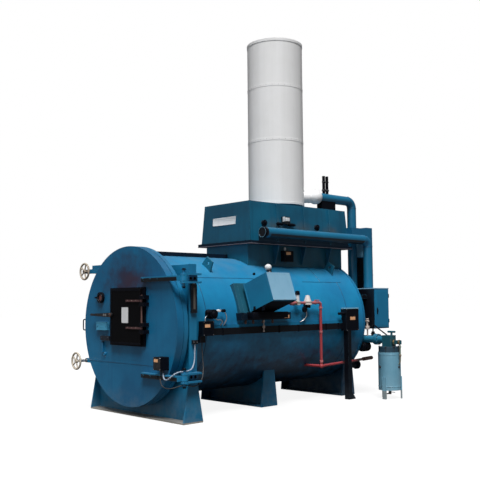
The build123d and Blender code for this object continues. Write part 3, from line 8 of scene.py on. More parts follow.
import bmesh
import bpy
from mathutils import Matrix, Vector


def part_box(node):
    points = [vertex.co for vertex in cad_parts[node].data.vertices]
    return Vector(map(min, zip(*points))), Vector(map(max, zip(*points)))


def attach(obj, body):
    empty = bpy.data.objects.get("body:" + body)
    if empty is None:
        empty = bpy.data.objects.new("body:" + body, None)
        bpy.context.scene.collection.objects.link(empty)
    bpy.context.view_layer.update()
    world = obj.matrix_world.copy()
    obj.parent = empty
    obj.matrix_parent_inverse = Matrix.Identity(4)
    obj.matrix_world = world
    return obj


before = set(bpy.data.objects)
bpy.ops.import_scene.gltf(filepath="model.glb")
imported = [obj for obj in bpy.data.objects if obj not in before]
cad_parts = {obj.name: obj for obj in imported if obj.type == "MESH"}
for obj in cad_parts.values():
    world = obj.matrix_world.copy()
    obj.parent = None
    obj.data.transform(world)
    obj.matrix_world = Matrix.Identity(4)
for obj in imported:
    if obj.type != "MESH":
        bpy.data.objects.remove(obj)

LOG = logging.getLogger("incinerator")
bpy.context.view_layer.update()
AXIS_Z = 1.182
SHELL_RADIUS = 0.94
SHARP_ANGLE = radians(38)
Colour = tuple[float, float, float]
Point = tuple[float, float, float]
Socket = bpy.types.NodeSocket
Sockets = dict[str, bpy.types.NodeSocket]
Node = bpy.types.Node
Piece = bpy.types.Object


class Body(Enum):
    """Moving bodies that a piece can ride on."""

    FURNACE = "furnace"
    DOOR = "main_door"
    HATCH = "charging_hatch"
    HANDLE = "hatch_handle"
    UPPER_WHEEL = "upper_clamp_wheel"
    LOWER_WHEEL = "lower_clamp_wheel"


class Slot(Enum):
    """Material slots of the record."""

    BLUE = "blue_paint"
    BLACK = "black_paint"
    PALE_BLUE = "pale_blue_paint"
    STEEL = "bright_steel"
    CLADDING = "aluminium_cladding"
    RED = "red_paint"
    BRASS = "brass_body"
    CONDUIT = "conduit_grey"
    SHEATH = "cable_sheath"


class Facing(Enum):
    """Directions of the furnace's own frame."""

    RIGHT = (1.0, 0.0, 0.0)
    LEFT = (-1.0, 0.0, 0.0)
    FRONT = (0.0, -1.0, 0.0)
    REAR = (0.0, 1.0, 0.0)
    UP = (0.0, 0.0, 1.0)
    DOWN = (0.0, 0.0, -1.0)

    @property
    def vector(self) -> Vector:
        """The direction as a vector of length one."""
        return Vector(self.value)


def opaque(colour: Colour) -> tuple[float, float, float, float]:
    """The colour with full opacity, as a colour socket takes it."""
    return (*colour, 1.0)


@dataclass
class Graph:
    """Short names for the nodes of one material or node group."""

    tree: bpy.types.NodeTree

    def node(self, kind: str, **settings: object) -> Node:
        """Adds a node.

        Args:
            kind: The node's type without the word ShaderNode.
            settings: Values of the node's own properties.

        Returns:
            The new node.
        """
        made = self.tree.nodes.new(f"ShaderNode{kind}")
        for key, value in settings.items():
            setattr(made, key, value)
        return made

    def feed(self, socket: Socket, value: object) -> None:
        """Links a socket into another, or sets its plain value."""
        if isinstance(value, Socket):
            self.tree.links.new(value, socket)
        else:
            socket.default_value = value

    def math(self, operation: str, first: object, second: object=0.0) -> Socket:
        """Does arithmetic on two values.

        Args:
            operation: Name of the Math node's operation.
            first: Socket or number.
            second: Socket or number.

        Returns:
            The result, held between 0 and 1 only where the operation does so.
        """
        made = self.node("Math", operation=operation)
        self.feed(made.inputs[0], first)
        self.feed(made.inputs[1], second)
        return made.outputs[0]

    def span(self, value: object, low: float, high: float, first: float=0.0, last: float=1.0) -> Socket:
        """Stretches a value from one range to another.

        Args:
            value: Socket or number.
            low: Start of the range that comes in.
            high: End of the range that comes in.
            first: Result at the start.
            last: Result at the end.

        Returns:
            The stretched value.
        """
        made = self.node("MapRange")
        for index, part in enumerate((value, low, high, first, last)):
            self.feed(made.inputs[index], part)
        return made.outputs[0]

    def mix(self, factor: object, first: object, second: object) -> Socket:
        """Blends two colours by a factor and gives the result."""
        made = self.node("Mix", data_type="RGBA")
        self.feed(made.inputs[0], factor)
        self.feed(made.inputs[6], first)
        self.feed(made.inputs[7], second)
        return made.outputs[2]

    def stretch(self, vector: object, scale: Point, shift: Point=(0, 0, 0)) -> Socket:
        """Scales and shifts a coordinate and gives the result."""
        made = self.node("Mapping")
        self.feed(made.inputs["Vector"], vector)
        made.inputs["Scale"].default_value = scale
        made.inputs["Location"].default_value = shift
        return made.outputs[0]

    def noise(self, vector: object, scale: float, detail: float=3.0, rough: float=0.5) -> Socket:
        """Makes soft noise.

        Args:
            vector: Coordinate socket.
            scale: Patches per metre.
            detail: Octaves.
            rough: Weight of the finer octaves.

        Returns:
            The noise, around one half.
        """
        made = self.node("TexNoise")
        self.feed(made.inputs["Vector"], vector)
        self.feed(made.inputs["Scale"], scale)
        made.inputs["Detail"].default_value = detail
        made.inputs["Roughness"].default_value = rough
        return made.outputs[0]

    def axes(self, vector: object) -> tuple[Socket, ...]:
        """Splits a coordinate into its three numbers."""
        made = self.node("SeparateXYZ")
        self.feed(made.inputs[0], vector)
        return tuple(made.outputs)


class Effect:
    """Base of the shared effects, each one a node group built once."""

    title = "effect"
    takes: dict[str, str] = {}
    gives: dict[str, str] = {}

    def group(self) -> bpy.types.NodeTree:
        """Finds the node group, or builds it the first time.

        Returns:
            The effect's node group.
        """
        found = bpy.data.node_groups.get(self.title)
        if found:
            return found
        tree = bpy.data.node_groups.new(self.title, "ShaderNodeTree")
        for side, sockets in (("INPUT", self.takes), ("OUTPUT", self.gives)):
            for name, kind in sockets.items():
                tree.interface.new_socket(name=name, in_out=side, socket_type=f"NodeSocket{kind}")
        entry = tree.nodes.new("NodeGroupInput")
        leave = tree.nodes.new("NodeGroupOutput")
        graph = Graph(tree)
        for name, socket in self.build(graph, entry.outputs).items():
            graph.feed(leave.inputs[name], socket)
        return tree

    def build(self, graph: Graph, given: object) -> Sockets:
        """Wires the effect, in each kind of effect its own way."""
        raise NotImplementedError

    def place(self, graph: Graph, **values: object) -> Sockets:
        """Puts the effect in a material.

        Args:
            graph: The material's graph.
            values: Values or sockets by input name, with _ for a space.

        Returns:
            The outputs by name.
        """
        made = graph.node("Group", node_tree=self.group())
        for name, value in values.items():
            graph.feed(made.inputs[name.replace("_", " ")], value)
        return {socket.name: socket for socket in made.outputs}


class EdgeWear(Effect):
    """Mask of the sharp edges, where paint rubs thin; where a finish gives these edges a pale colour, the
    mask carries a painted edge highlight.
    """

    title = "edge rub and highlight"
    takes = {"Coordinate": "Vector", "Reach": "Float"}
    gives = {"Mask": "Float"}

    def build(self, graph: Graph, given: object) -> Sockets:
        """Compares the true normal with a rounded one."""
        rounded = graph.node("Bevel", samples=4)
        graph.feed(rounded.inputs["Radius"], given["Reach"])
        surface = graph.node("NewGeometry")
        dot = graph.node("VectorMath", operation="DOT_PRODUCT")
        graph.feed(dot.inputs[0], rounded.outputs[0])
        graph.feed(dot.inputs[1], surface.outputs["Normal"])
        edge = graph.span(dot.outputs["Value"], 0.97, 0.8)
        broken = graph.span(graph.noise(given["Coordinate"], 45.0, 4.0, 0.65), 0.42, 0.62)
        return {"Mask": graph.math("MULTIPLY", edge, broken)}


class PlantDust(Effect):
    """Mask of the dust on upward faces and of the dirt near the floor."""

    title = "plant dust"
    takes = {"Coordinate": "Vector", "Floor reach": "Float"}
    gives = {"Dust": "Float", "Grime": "Float"}

    def build(self, graph: Graph, given: object) -> Sockets:
        """Reads the surface's slope and its height above the floor."""
        surface = graph.node("NewGeometry")
        upward = graph.span(graph.axes(surface.outputs["Normal"])[2], 0.55, 1.0)
        patches = graph.span(graph.noise(given["Coordinate"], 5.5, 5.0, 0.6), 0.3, 0.7)
        height = graph.axes(given["Coordinate"])[2]
        low = graph.math("SUBTRACT", 1.0, graph.math("DIVIDE", height, given["Floor reach"]))
        splash = graph.span(graph.noise(given["Coordinate"], 9.0, 4.0, 0.6), 0.35, 0.75)
        grime = graph.math("MULTIPLY", graph.math("MAXIMUM", low, 0.0), splash)
        return {"Dust": graph.math("MULTIPLY", upward, patches), "Grime": grime}


class RainStreaks(Effect):
    """Mask of the runs that water leaves down an upright surface."""

    title = "rain streaks"
    takes = {"Coordinate": "Vector"}
    gives = {"Mask": "Float"}

    def build(self, graph: Graph, given: object) -> Sockets:
        """Draws noise out along the height."""
        drawn = graph.stretch(given["Coordinate"], (15.0, 15.0, 0.75))
        runs = graph.span(graph.noise(drawn, 1.0, 4.0, 0.6), 0.5, 0.78)
        surface = graph.node("NewGeometry")
        slope = graph.math("ABSOLUTE", graph.axes(surface.outputs["Normal"])[2])
        upright = graph.span(slope, 0.95, 0.45)
        return {"Mask": graph.math("MULTIPLY", runs, upright)}


class PaintSkin(Effect):
    """Colour, roughness and fine height of sprayed enamel that has stood in a plant."""

    title = "paint skin"
    takes = {"Coordinate": "Vector", "Paint": "Color", "Shade": "Color", "Chip": "Color",
             "Dust tint": "Color", "Mottle": "Float", "Streak": "Float", "Dust cover": "Float",
             "Wear": "Float", "Gloss": "Float"}
    gives = {"Colour": "Color", "Roughness": "Float", "Height": "Float"}

    def build(self, graph: Graph, given: object) -> Sockets:
        """Lays patches, runs, dust and an edge colour over the paint; a dark edge colour is rubbed paint and
        a pale one is a painted edge highlight.
        """
        place = given["Coordinate"]
        patches = graph.span(graph.noise(place, 1.7, 4.0, 0.55), 0.34, 0.66)
        fine = graph.noise(place, 55.0, 3.0, 0.6)
        runs = RainStreaks().place(graph, Coordinate=place)["Mask"]
        dirt = PlantDust().place(graph, Coordinate=place, Floor_reach=0.42)
        edge_rub_and_highlight = EdgeWear().place(graph, Coordinate=place, Reach=0.007)["Mask"]
        colour = graph.mix(graph.math("MULTIPLY", patches, given["Mottle"]), given["Paint"],
                           given["Shade"])
        colour = graph.mix(graph.math("MULTIPLY", runs, given["Streak"]), colour, given["Shade"])
        dusty = graph.math("MULTIPLY", dirt["Dust"], given["Dust cover"])
        grimy = graph.math("MULTIPLY", dirt["Grime"], 0.45)
        colour = graph.mix(graph.math("MAXIMUM", dusty, grimy), colour, given["Dust tint"])
        colour = graph.mix(graph.math("MULTIPLY", edge_rub_and_highlight, given["Wear"]), colour, given["Chip"])
        rough = graph.math("ADD", given["Gloss"], graph.span(patches, 0.0, 1.0, -0.04, 0.06))
        rough = graph.math("ADD", rough, graph.math("MULTIPLY", dusty, 0.35))
        rough = graph.math("ADD", rough, graph.span(fine, 0.3, 0.7, -0.04, 0.04))
        peel = graph.noise(place, 210.0, 2.0, 0.5)
        height = graph.math("ADD", graph.math("MULTIPLY", peel, 0.35),
                            graph.math("MULTIPLY", patches, 0.9))
        return {"Colour": colour, "Roughness": rough, "Height": height}


class MetalGrain(Effect):
    """Fine drawn lines of rolled or turned metal, with dull patches."""

    title = "metal grain"
    takes = {"Coordinate": "Vector", "Bright": "Color", "Dull": "Color", "Amount": "Float",
             "Gloss": "Float"}
    gives = {"Colour": "Color", "Roughness": "Float", "Height": "Float"}

    def build(self, graph: Graph, given: object) -> Sockets:
        """Draws noise along one axis and dulls it in patches."""
        lines = graph.noise(given["Coordinate"], 1.0, 3.0, 0.6)
        dull = graph.span(graph.noise(given["Coordinate"], 0.12, 4.0, 0.6), 0.4, 0.68)
        colour = graph.mix(graph.math("MULTIPLY", dull, given["Amount"]), given["Bright"], given["Dull"])
        shifted = graph.math("ADD", given["Gloss"], graph.span(lines, 0.3, 0.7, -0.07, 0.07))
        rough = graph.math("ADD", shifted, graph.math("MULTIPLY", dull, 0.12))
        return {"Colour": colour, "Roughness": rough, "Height": lines}


class ZoneMask(Effect):
    """Mask that is one inside a box of the frame and nothing outside."""

    title = "zone mask"
    takes = {"Coordinate": "Vector", "Low": "Vector", "High": "Vector"}
    gives = {"Mask": "Float"}

    def build(self, graph: Graph, given: object) -> Sockets:
        """Multiplies the six distances to the box's faces, each held to nothing or one."""
        sides = []
        for first, second in (("Coordinate", "Low"), ("High", "Coordinate")):
            apart = graph.node("VectorMath", operation="SUBTRACT")
            graph.feed(apart.inputs[0], given[first])
            graph.feed(apart.inputs[1], given[second])
            sides += [graph.span(part, -0.0002, 0.0002) for part in graph.axes(apart.outputs[0])]
        mask = sides[0]
        for side in sides[1:]:
            mask = graph.math("MULTIPLY", mask, side)
        return {"Mask": mask}


@dataclass(frozen=True)
class Zone:
    """Box of a node that gets its own colours: a second paint on some nodes, painted shade on others."""

    low: Point
    high: Point
    paint: Colour
    shade: Colour


@dataclass(frozen=True)
class StainAndShadePatch:
    """Soft edged patch on a painted sheet, used for soot and dust on the door and hood and for painted shade
    on the barrel's lower half.
    """

    centre: Point
    reach: Point
    tint: Colour
    cover: float


class SoftPatchMask(Effect):
    """Mask that fades out from a centre, with a broken edge."""

    title = "soft patch mask"
    takes = {"Coordinate": "Vector", "Centre": "Vector", "Reach": "Vector"}
    gives = {"Mask": "Float"}

    def build(self, graph: Graph, given: object) -> Sockets:
        """Measures how far a spot lies from the centre, as a share of the reach."""
        apart = graph.node("VectorMath", operation="SUBTRACT")
        graph.feed(apart.inputs[0], given["Coordinate"])
        graph.feed(apart.inputs[1], given["Centre"])
        share = graph.node("VectorMath", operation="DIVIDE")
        graph.feed(share.inputs[0], apart.outputs[0])
        graph.feed(share.inputs[1], given["Reach"])
        length = graph.node("VectorMath", operation="LENGTH")
        graph.feed(length.inputs[0], share.outputs[0])
        broken = graph.span(graph.noise(given["Coordinate"], 7.0, 5.0, 0.65), 0.3, 0.7, -0.3, 0.3)
        return {"Mask": graph.span(graph.math("ADD", length.outputs["Value"], broken), 1.0, 0.15)}


@dataclass(frozen=True)
class Finish:
    """Base of the finishes: one material, built once under its name."""

    name: str

    def material(self) -> bpy.types.Material:
        """Finds the material, or builds it the first time.

        Returns:
            The finish as a material.
        """
        found = bpy.data.materials.get(self.name)
        if found:
            return found
        made = bpy.data.materials.new(self.name)
        made.use_nodes = True
        graph = Graph(made.node_tree)
        shader = made.node_tree.nodes["Principled BSDF"]
        place = graph.node("TexCoord").outputs["Object"]
        self.wire(graph, shader, place)
        return made

    def wire(self, graph: Graph, shader: Node, place: Socket) -> None:
        """Wires the shader, in each kind of finish its own way."""
        raise NotImplementedError

    def emboss(self, graph: Graph, shader: Node, height: object, depth: float, strength: float) -> None:
        """Feeds a height to the shader's normal.

        Args:
            graph: The material's graph.
            shader: Its Principled node.
            height: Socket of the height.
            depth: Depth in metres.
            strength: Strength of the bump.
        """
        bump = graph.node("Bump")
        bump.inputs["Distance"].default_value = depth
        bump.inputs["Strength"].default_value = strength
        graph.feed(bump.inputs["Height"], height)
        graph.feed(shader.inputs["Normal"], bump.outputs[0])


@dataclass(frozen=True)
class PaintFinish(Finish):
    """Sprayed enamel with patches, runs, dust and an edge colour that is rubbed paint where it is dark and a
    painted edge highlight where it is pale.
    """

    paint: Colour
    shade: Colour
    chip_and_highlight: Colour = (0.1, 0.12, 0.14)
    dust_tint: Colour = (0.22, 0.26, 0.28)
    gloss: float = 0.38
    mottle: float = 0.55
    streak: float = 0.35
    dust: float = 0.25
    wear_and_highlight: float = 0.45
    specular: float = 0.5
    zones: tuple[Zone, ...] = ()
    stains_and_shade: tuple[StainAndShadePatch, ...] = ()

    def wire(self, graph: Graph, shader: Node, place: Socket) -> None:
        """Lays the paint skin, with a zone's own paint inside its box."""
        paint: object = opaque(self.paint)
        shade: object = opaque(self.shade)
        for zone in self.zones:
            mask = ZoneMask().place(graph, Coordinate=place, Low=zone.low, High=zone.high)["Mask"]
            paint = graph.mix(mask, paint, opaque(zone.paint))
            shade = graph.mix(mask, shade, opaque(zone.shade))
        skin = PaintSkin().place(graph, Coordinate=place, Paint=paint, Shade=shade,
                                 Chip=opaque(self.chip_and_highlight), Dust_tint=opaque(self.dust_tint),
                                 Mottle=self.mottle, Streak=self.streak, Dust_cover=self.dust,
                                 Wear=self.wear_and_highlight, Gloss=self.gloss)
        colour = skin["Colour"]
        for stain in self.stains_and_shade:
            mask = SoftPatchMask().place(graph, Coordinate=place, Centre=stain.centre,
                                     Reach=stain.reach)["Mask"]
            colour = graph.mix(graph.math("MULTIPLY", mask, stain.cover), colour, opaque(stain.tint))
        graph.feed(shader.inputs["Base Color"], colour)
        graph.feed(shader.inputs["Roughness"], skin["Roughness"])
        shader.inputs["Specular IOR Level"].default_value = self.specular
        self.emboss(graph, shader, skin["Height"], 0.0012, 0.35)


@dataclass(frozen=True)
class MetalFinish(Finish):
    """Bare metal with a drawn grain along one axis."""

    bright: Colour
    dull: Colour
    grain: Point = (60.0, 60.0, 400.0)
    gloss: float = 0.34
    amount: float = 0.7
    metallic: float = 1.0

    def wire(self, graph: Graph, shader: Node, place: Socket) -> None:
        """Draws the grain and dulls it in patches."""
        drawn = graph.stretch(place, self.grain)
        skin = MetalGrain().place(graph, Coordinate=drawn, Bright=opaque(self.bright),
                                  Dull=opaque(self.dull), Amount=self.amount, Gloss=self.gloss)
        graph.feed(shader.inputs["Base Color"], skin["Colour"])
        graph.feed(shader.inputs["Roughness"], skin["Roughness"])
        shader.inputs["Metallic"].default_value = self.metallic
        self.emboss(graph, shader, skin["Height"], 0.0004, 0.25)


@dataclass(frozen=True)
class CladdingFinish(Finish):
    """Pale satin sheet round the stack, with faint runs and handling marks."""

    sheet: Colour = (0.9, 0.9, 0.905)
    stain: Colour = (0.8, 0.8, 0.795)

    def wire(self, graph: Graph, shader: Node, place: Socket) -> None:
        """Draws long upright runs over broad soft patches."""
        runs = graph.noise(graph.stretch(place, (7.0, 7.0, 0.22)), 1.0, 4.0, 0.6)
        clouds = graph.noise(place, 2.2, 5.0, 0.6)
        marks = graph.noise(graph.stretch(place, (26.0, 26.0, 3.0)), 1.0, 5.0, 0.7)
        stained = graph.math("ADD", graph.span(runs, 0.4, 0.72, 0.0, 0.55),
                             graph.span(clouds, 0.45, 0.72, 0.0, 0.35))
        stained = graph.math("ADD", stained, graph.span(marks, 0.6, 0.75, 0.0, 0.4))
        graph.feed(shader.inputs["Base Color"],
                   graph.mix(graph.math("MINIMUM", stained, 1.0), opaque(self.sheet),
                             opaque(self.stain)))
        graph.feed(shader.inputs["Roughness"], graph.span(clouds, 0.3, 0.7, 0.42, 0.6))
        shader.inputs["Metallic"].default_value = 0.0
        self.emboss(graph, shader, clouds, 0.003, 0.18)


@dataclass(frozen=True)
class CastableFinish(Finish):
    """Rough cast lining with grit, hairline cracks and soot."""

    cast: Colour = (0.5, 0.43, 0.34)
    soot: Colour = (0.09, 0.075, 0.065)

    def wire(self, graph: Graph, shader: Node, place: Socket) -> None:
        """Lays grit, cracks and soot."""
        grit = graph.noise(place, 120.0, 4.0, 0.7)
        smoke = graph.span(graph.noise(place, 3.0, 5.0, 0.6), 0.38, 0.7)
        cells = graph.node("TexVoronoi", feature="DISTANCE_TO_EDGE")
        graph.feed(cells.inputs["Vector"], place)
        cells.inputs["Scale"].default_value = 5.0
        crack = graph.span(cells.outputs["Distance"], 0.012, 0.0)
        colour = graph.mix(graph.math("MULTIPLY", smoke, 0.7), opaque(self.cast), opaque(self.soot))
        colour = graph.mix(graph.math("MULTIPLY", crack, 0.6), colour, opaque(self.soot))
        graph.feed(shader.inputs["Base Color"], colour)
        graph.feed(shader.inputs["Roughness"], graph.span(grit, 0.3, 0.7, 0.82, 0.97))
        self.emboss(graph, shader, graph.math("SUBTRACT", grit, crack), 0.004, 0.6)


@dataclass(frozen=True)
class RopeFinish(Finish):
    """Braided heat rope laid in a ring round the furnace's axis."""

    yarn: Colour = (0.66, 0.63, 0.56)
    shadow: Colour = (0.3, 0.27, 0.23)

    def wire(self, graph: Graph, shader: Node, place: Socket) -> None:
        """Crosses two slanted sets of ridges round the ring."""
        centred = graph.stretch(place, (1.0, 1.0, 1.0), (0.0, 0.0, -AXIS_Z))
        across, along, upward = graph.axes(centred)
        turn = graph.math("MULTIPLY", graph.math("ARCTAN2", upward, across), 190.0)
        out = graph.math("MULTIPLY", graph.math("SQRT",
                                                graph.math("ADD", graph.math("POWER", across, 2.0),
                                                           graph.math("POWER", upward, 2.0))), 420.0)
        first = graph.math("SINE", graph.math("ADD", turn, out))
        second = graph.math("SINE", graph.math("SUBTRACT", turn, out))
        weave = graph.span(graph.math("MULTIPLY", first, second), -1.0, 1.0)
        fluff = graph.noise(place, 160.0, 3.0, 0.6)
        graph.feed(shader.inputs["Base Color"],
                   graph.mix(graph.math("MULTIPLY", weave, fluff), opaque(self.shadow),
                             opaque(self.yarn)))
        graph.feed(shader.inputs["Roughness"], graph.span(fluff, 0.3, 0.7, 0.86, 0.98))
        self.emboss(graph, shader, weave, 0.002, 0.8)


@dataclass(frozen=True)
class RubberFinish(Finish):
    """Cable sheath or grey conduit, with a ribbed or plain skin."""

    sheath: Colour
    scuff: Colour
    gloss: float = 0.5
    ribs: float = 0.0

    def wire(self, graph: Graph, shader: Node, place: Socket) -> None:
        """Scuffs the skin, and ribs it where ribs are asked for."""
        scuffs = graph.span(graph.noise(place, 38.0, 4.0, 0.65), 0.48, 0.7)
        fine = graph.noise(place, 300.0, 2.0, 0.5)
        graph.feed(shader.inputs["Base Color"],
                   graph.mix(scuffs, opaque(self.sheath), opaque(self.scuff)))
        graph.feed(shader.inputs["Roughness"],
                   graph.math("ADD", graph.span(scuffs, 0.0, 1.0, -0.05, 0.12), self.gloss))
        height = fine
        if self.ribs:
            parts = graph.axes(place)
            wave = graph.math("MULTIPLY", graph.math("ADD", parts[2], parts[0]), self.ribs)
            height = graph.math("ADD", graph.math("SINE", wave), fine)
        self.emboss(graph, shader, height, 0.0012, 0.5)


@dataclass(frozen=True)
class GlassFinish(Finish):
    """Tinted sight glass with faint soot round its edge."""

    tint: Colour = (0.3, 0.1, 0.09)
    soot: Colour = (0.05, 0.03, 0.03)

    def wire(self, graph: Graph, shader: Node, place: Socket) -> None:
        """Clouds the glass a little."""
        cloud = graph.span(graph.noise(place, 26.0, 4.0, 0.6), 0.4, 0.75)
        graph.feed(shader.inputs["Base Color"], graph.mix(cloud, opaque(self.tint), opaque(self.soot)))
        graph.feed(shader.inputs["Roughness"], graph.span(cloud, 0.0, 1.0, 0.08, 0.24))
        shader.inputs["Coat Weight"].default_value = 0.6


BLUE: Colour = (0.01, 0.205, 0.4)
DEEP_BLUE: Colour = (0.006, 0.115, 0.25)
PALE: Colour = (0.22, 0.47, 0.62)
DEEP_PALE: Colour = (0.15, 0.37, 0.52)
BLACK: Colour = (0.003, 0.004, 0.008)
DEEP_BLACK: Colour = (0.0015, 0.002, 0.004)
CREAM: Colour = (0.66, 0.56, 0.5)
DEEP_CREAM: Colour = (0.5, 0.4, 0.36)
WHITE: Colour = (0.82, 0.83, 0.84)
DEEP_WHITE: Colour = (0.66, 0.68, 0.7)
SOOT: Colour = (0.055, 0.022, 0.035)
DUST: Colour = (0.1, 0.105, 0.1)
# Pale blue edge colour of the blue parts: a painted highlight along their sharp edges.
EDGE_HIGHLIGHT: Colour = (0.075, 0.3, 0.45)
ENAMEL = PaintFinish("blue enamel", BLUE, DEEP_BLUE, chip_and_highlight=EDGE_HIGHLIGHT, mottle=0.85, streak=0.6, wear_and_highlight=0.7)
# The barrel's blue is lighter than that of the other blue parts as painted light, and its two soft patches
# darken the lower half as painted shade.
SHELL_ENAMEL = PaintFinish("blue enamel of the barrel", (0.011, 0.245, 0.47), (0.008, 0.175, 0.37),
                           chip_and_highlight=EDGE_HIGHLIGHT, mottle=0.85, streak=0.6, wear_and_highlight=0.6,
                           stains_and_shade=(StainAndShadePatch((0.6, 0.0, 0.5), (1.2, 3.6, 0.74), (0.006, 0.04, 0.115), 0.8),
                                   StainAndShadePatch((0.45, 0.0, 0.24), (1.0, 3.6, 0.52), (0.002, 0.004, 0.012),
                                         0.95)))
# The door's blue is darker than the barrel's as painted shade; the two patches above the hatch are soot.
DOOR_ENAMEL = PaintFinish("blue enamel of the door darkened as painted shade", (0.008, 0.16, 0.33), (0.005, 0.098, 0.22),
                          chip_and_highlight=EDGE_HIGHLIGHT, mottle=0.9, streak=0.6, wear_and_highlight=0.7,
                          stains_and_shade=(StainAndShadePatch((-0.02, -1.96, 1.78), (0.6, 0.5, 0.46), (0.022, 0.02, 0.05),
                                        0.9), StainAndShadePatch((0.1, -1.96, 1.74), (0.34, 0.5, 0.2), SOOT, 0.45),
                                  StainAndShadePatch((-0.55, -1.96, 1.3), (0.3, 0.5, 0.45), (0.008, 0.06, 0.13),
                                        0.5)))
SADDLE_ENAMEL = PaintFinish("blue enamel of the front base", (0.01, 0.205, 0.39), (0.007, 0.12, 0.25),
                            chip_and_highlight=EDGE_HIGHLIGHT, mottle=0.85, streak=0.7, wear_and_highlight=0.7,
                            zones=(Zone((-1.3, -2.3, -0.01), (1.3, -1.2, 0.0205), (0.48, 0.44, 0.38),
                                        (0.3, 0.27, 0.24)),))
# The arms' front faces are painted black as painted shade below their lit tops.
BRACKET_ENAMEL = PaintFinish("blue enamel of the arms with painted shade on their fronts", BLUE, DEEP_BLUE, chip_and_highlight=EDGE_HIGHLIGHT, wear_and_highlight=0.7,
                             zones=(Zone((0.3, -2.2, 1.7), (1.1, -1.99, 1.796), BLACK, DEEP_BLACK),
                                    Zone((0.3, -2.2, 0.5), (1.1, -1.99, 0.586), BLACK, DEEP_BLACK)))
# The rear saddle's blue is darkened as painted shade.
SHADED_SADDLE_ENAMEL = PaintFinish("blue enamel of the rear saddle darkened as painted shade", (0.006, 0.062, 0.135), (0.004, 0.036, 0.085),
                          chip_and_highlight=EDGE_HIGHLIGHT, mottle=0.85, streak=0.6, wear_and_highlight=0.7)
# The blue of the neck and lugs is darkened as painted shade.
SHADED_NECK_ENAMEL = PaintFinish("blue enamel of the neck and lugs darkened as painted shade", (0.008, 0.15, 0.24), (0.006, 0.088, 0.15),
                          chip_and_highlight=EDGE_HIGHLIGHT, mottle=0.9, streak=0.7, wear_and_highlight=0.7)
SEAM_ENAMEL = PaintFinish("shaded weld bead", (0.006, 0.08, 0.17), (0.003, 0.045, 0.1), wear_and_highlight=0.0)
# The hood's front face is darkened, and the band of its side and lip under the manifold is near black, both
# painted shade; the three dull patches are dust.
HOOD_ENAMEL = PaintFinish("darker blue enamel of the hood with painted shade", (0.007, 0.13, 0.23), (0.005, 0.072, 0.135),
                          chip_and_highlight=EDGE_HIGHLIGHT, mottle=0.9, streak=0.8, wear_and_highlight=0.9,
                          zones=(Zone((-0.6, -0.3, 2.3), (0.6, -0.199, 3.0), (0.009, 0.095, 0.165),
                                      (0.008, 0.058, 0.105)),
                                 Zone((0.45, -0.05, 2.33), (0.64, 2.1, 2.47), (0.002, 0.01, 0.02),
                                      (0.001, 0.006, 0.012))),
                          stains_and_shade=(StainAndShadePatch((0.54, 0.3, 2.6), (0.2, 0.22, 0.15), DUST, 0.55),
                                  StainAndShadePatch((0.54, 0.95, 2.58), (0.2, 0.26, 0.16), DUST, 0.55),
                                  StainAndShadePatch((0.54, 1.6, 2.58), (0.2, 0.24, 0.15), DUST, 0.5)))
# Pale blue that is painted light on lit faces: the burner's end cover and the cabinet's cap.
LIT_PALE_ENAMEL = PaintFinish("pale blue enamel as painted light", (0.24, 0.45, 0.61), (0.16, 0.35, 0.5), mottle=0.6,
                           streak=0.5, dust=0.35)
BLACK_PAINT = PaintFinish("black paint", BLACK, DEEP_BLACK, chip_and_highlight=(0.07, 0.07, 0.08),
                          dust_tint=(0.018, 0.02, 0.024), gloss=0.5, specular=0.1)
LID_PAINT = PaintFinish("black paint with a blue cast", (0.005, 0.014, 0.028), (0.003, 0.008, 0.016),
                        chip_and_highlight=(0.08, 0.1, 0.12), dust_tint=(0.03, 0.04, 0.05), gloss=0.46, specular=0.15)
PALE_PAINT = PaintFinish("pale blue paint", PALE, DEEP_PALE, chip_and_highlight=(0.2, 0.2, 0.2), gloss=0.36)
RED_PAINT = PaintFinish("red pipe paint", (0.4, 0.05, 0.06), (0.27, 0.035, 0.04), chip_and_highlight=(0.16, 0.1, 0.09),
                        gloss=0.4, zones=(Zone((0.5, 1.9, 0.45), (1.0, 2.6, 0.65), (0.2, 0.075, 0.06),
                                               (0.12, 0.045, 0.04)),
                                          Zone((0.9, -0.4, 1.438), (1.2, 0.735, 1.482),
                                               (0.5, 0.15, 0.17), (0.36, 0.1, 0.12))))
CREAM_PAINT = PaintFinish("cream valve paint", CREAM, DEEP_CREAM, chip_and_highlight=(0.24, 0.16, 0.13), gloss=0.42)
WHITE_PAINT = PaintFinish("white enamel", WHITE, DEEP_WHITE, chip_and_highlight=(0.24, 0.24, 0.24), gloss=0.32,
                          mottle=0.4, streak=0.5)
STRIP_PAINT = PaintFinish("worn gauge strip", (0.36, 0.33, 0.28), (0.1, 0.09, 0.08), mottle=1.0,
                          streak=0.9)
ORANGE_PAINT = PaintFinish("orange plate paint", (0.92, 0.5, 0.26), (0.78, 0.36, 0.17), gloss=0.45,
                           mottle=0.5, streak=0.3)
RUSTY_STEEL = PaintFinish("heat browned steel", (0.17, 0.085, 0.07), (0.07, 0.04, 0.036),
                          chip_and_highlight=(0.3, 0.26, 0.24), gloss=0.5, mottle=0.9)
WHEEL_PAINT = PaintFinish("cream wheel paint", (0.6, 0.53, 0.43), (0.36, 0.29, 0.22),
                          chip_and_highlight=(0.12, 0.09, 0.07), dust_tint=(0.3, 0.26, 0.22), mottle=0.8, wear_and_highlight=0.8)
WHEEL_STEEL = MetalFinish("bright wheel steel", (0.74, 0.74, 0.75), (0.42, 0.42, 0.43))
ROD_STEEL = MetalFinish("turned rod steel", (0.62, 0.61, 0.6), (0.32, 0.28, 0.26), (80, 500, 80))
BOLT_STEEL = MetalFinish("plated bolt steel", (0.55, 0.56, 0.58), (0.3, 0.29, 0.28), (150, 150, 150),
                         0.38)
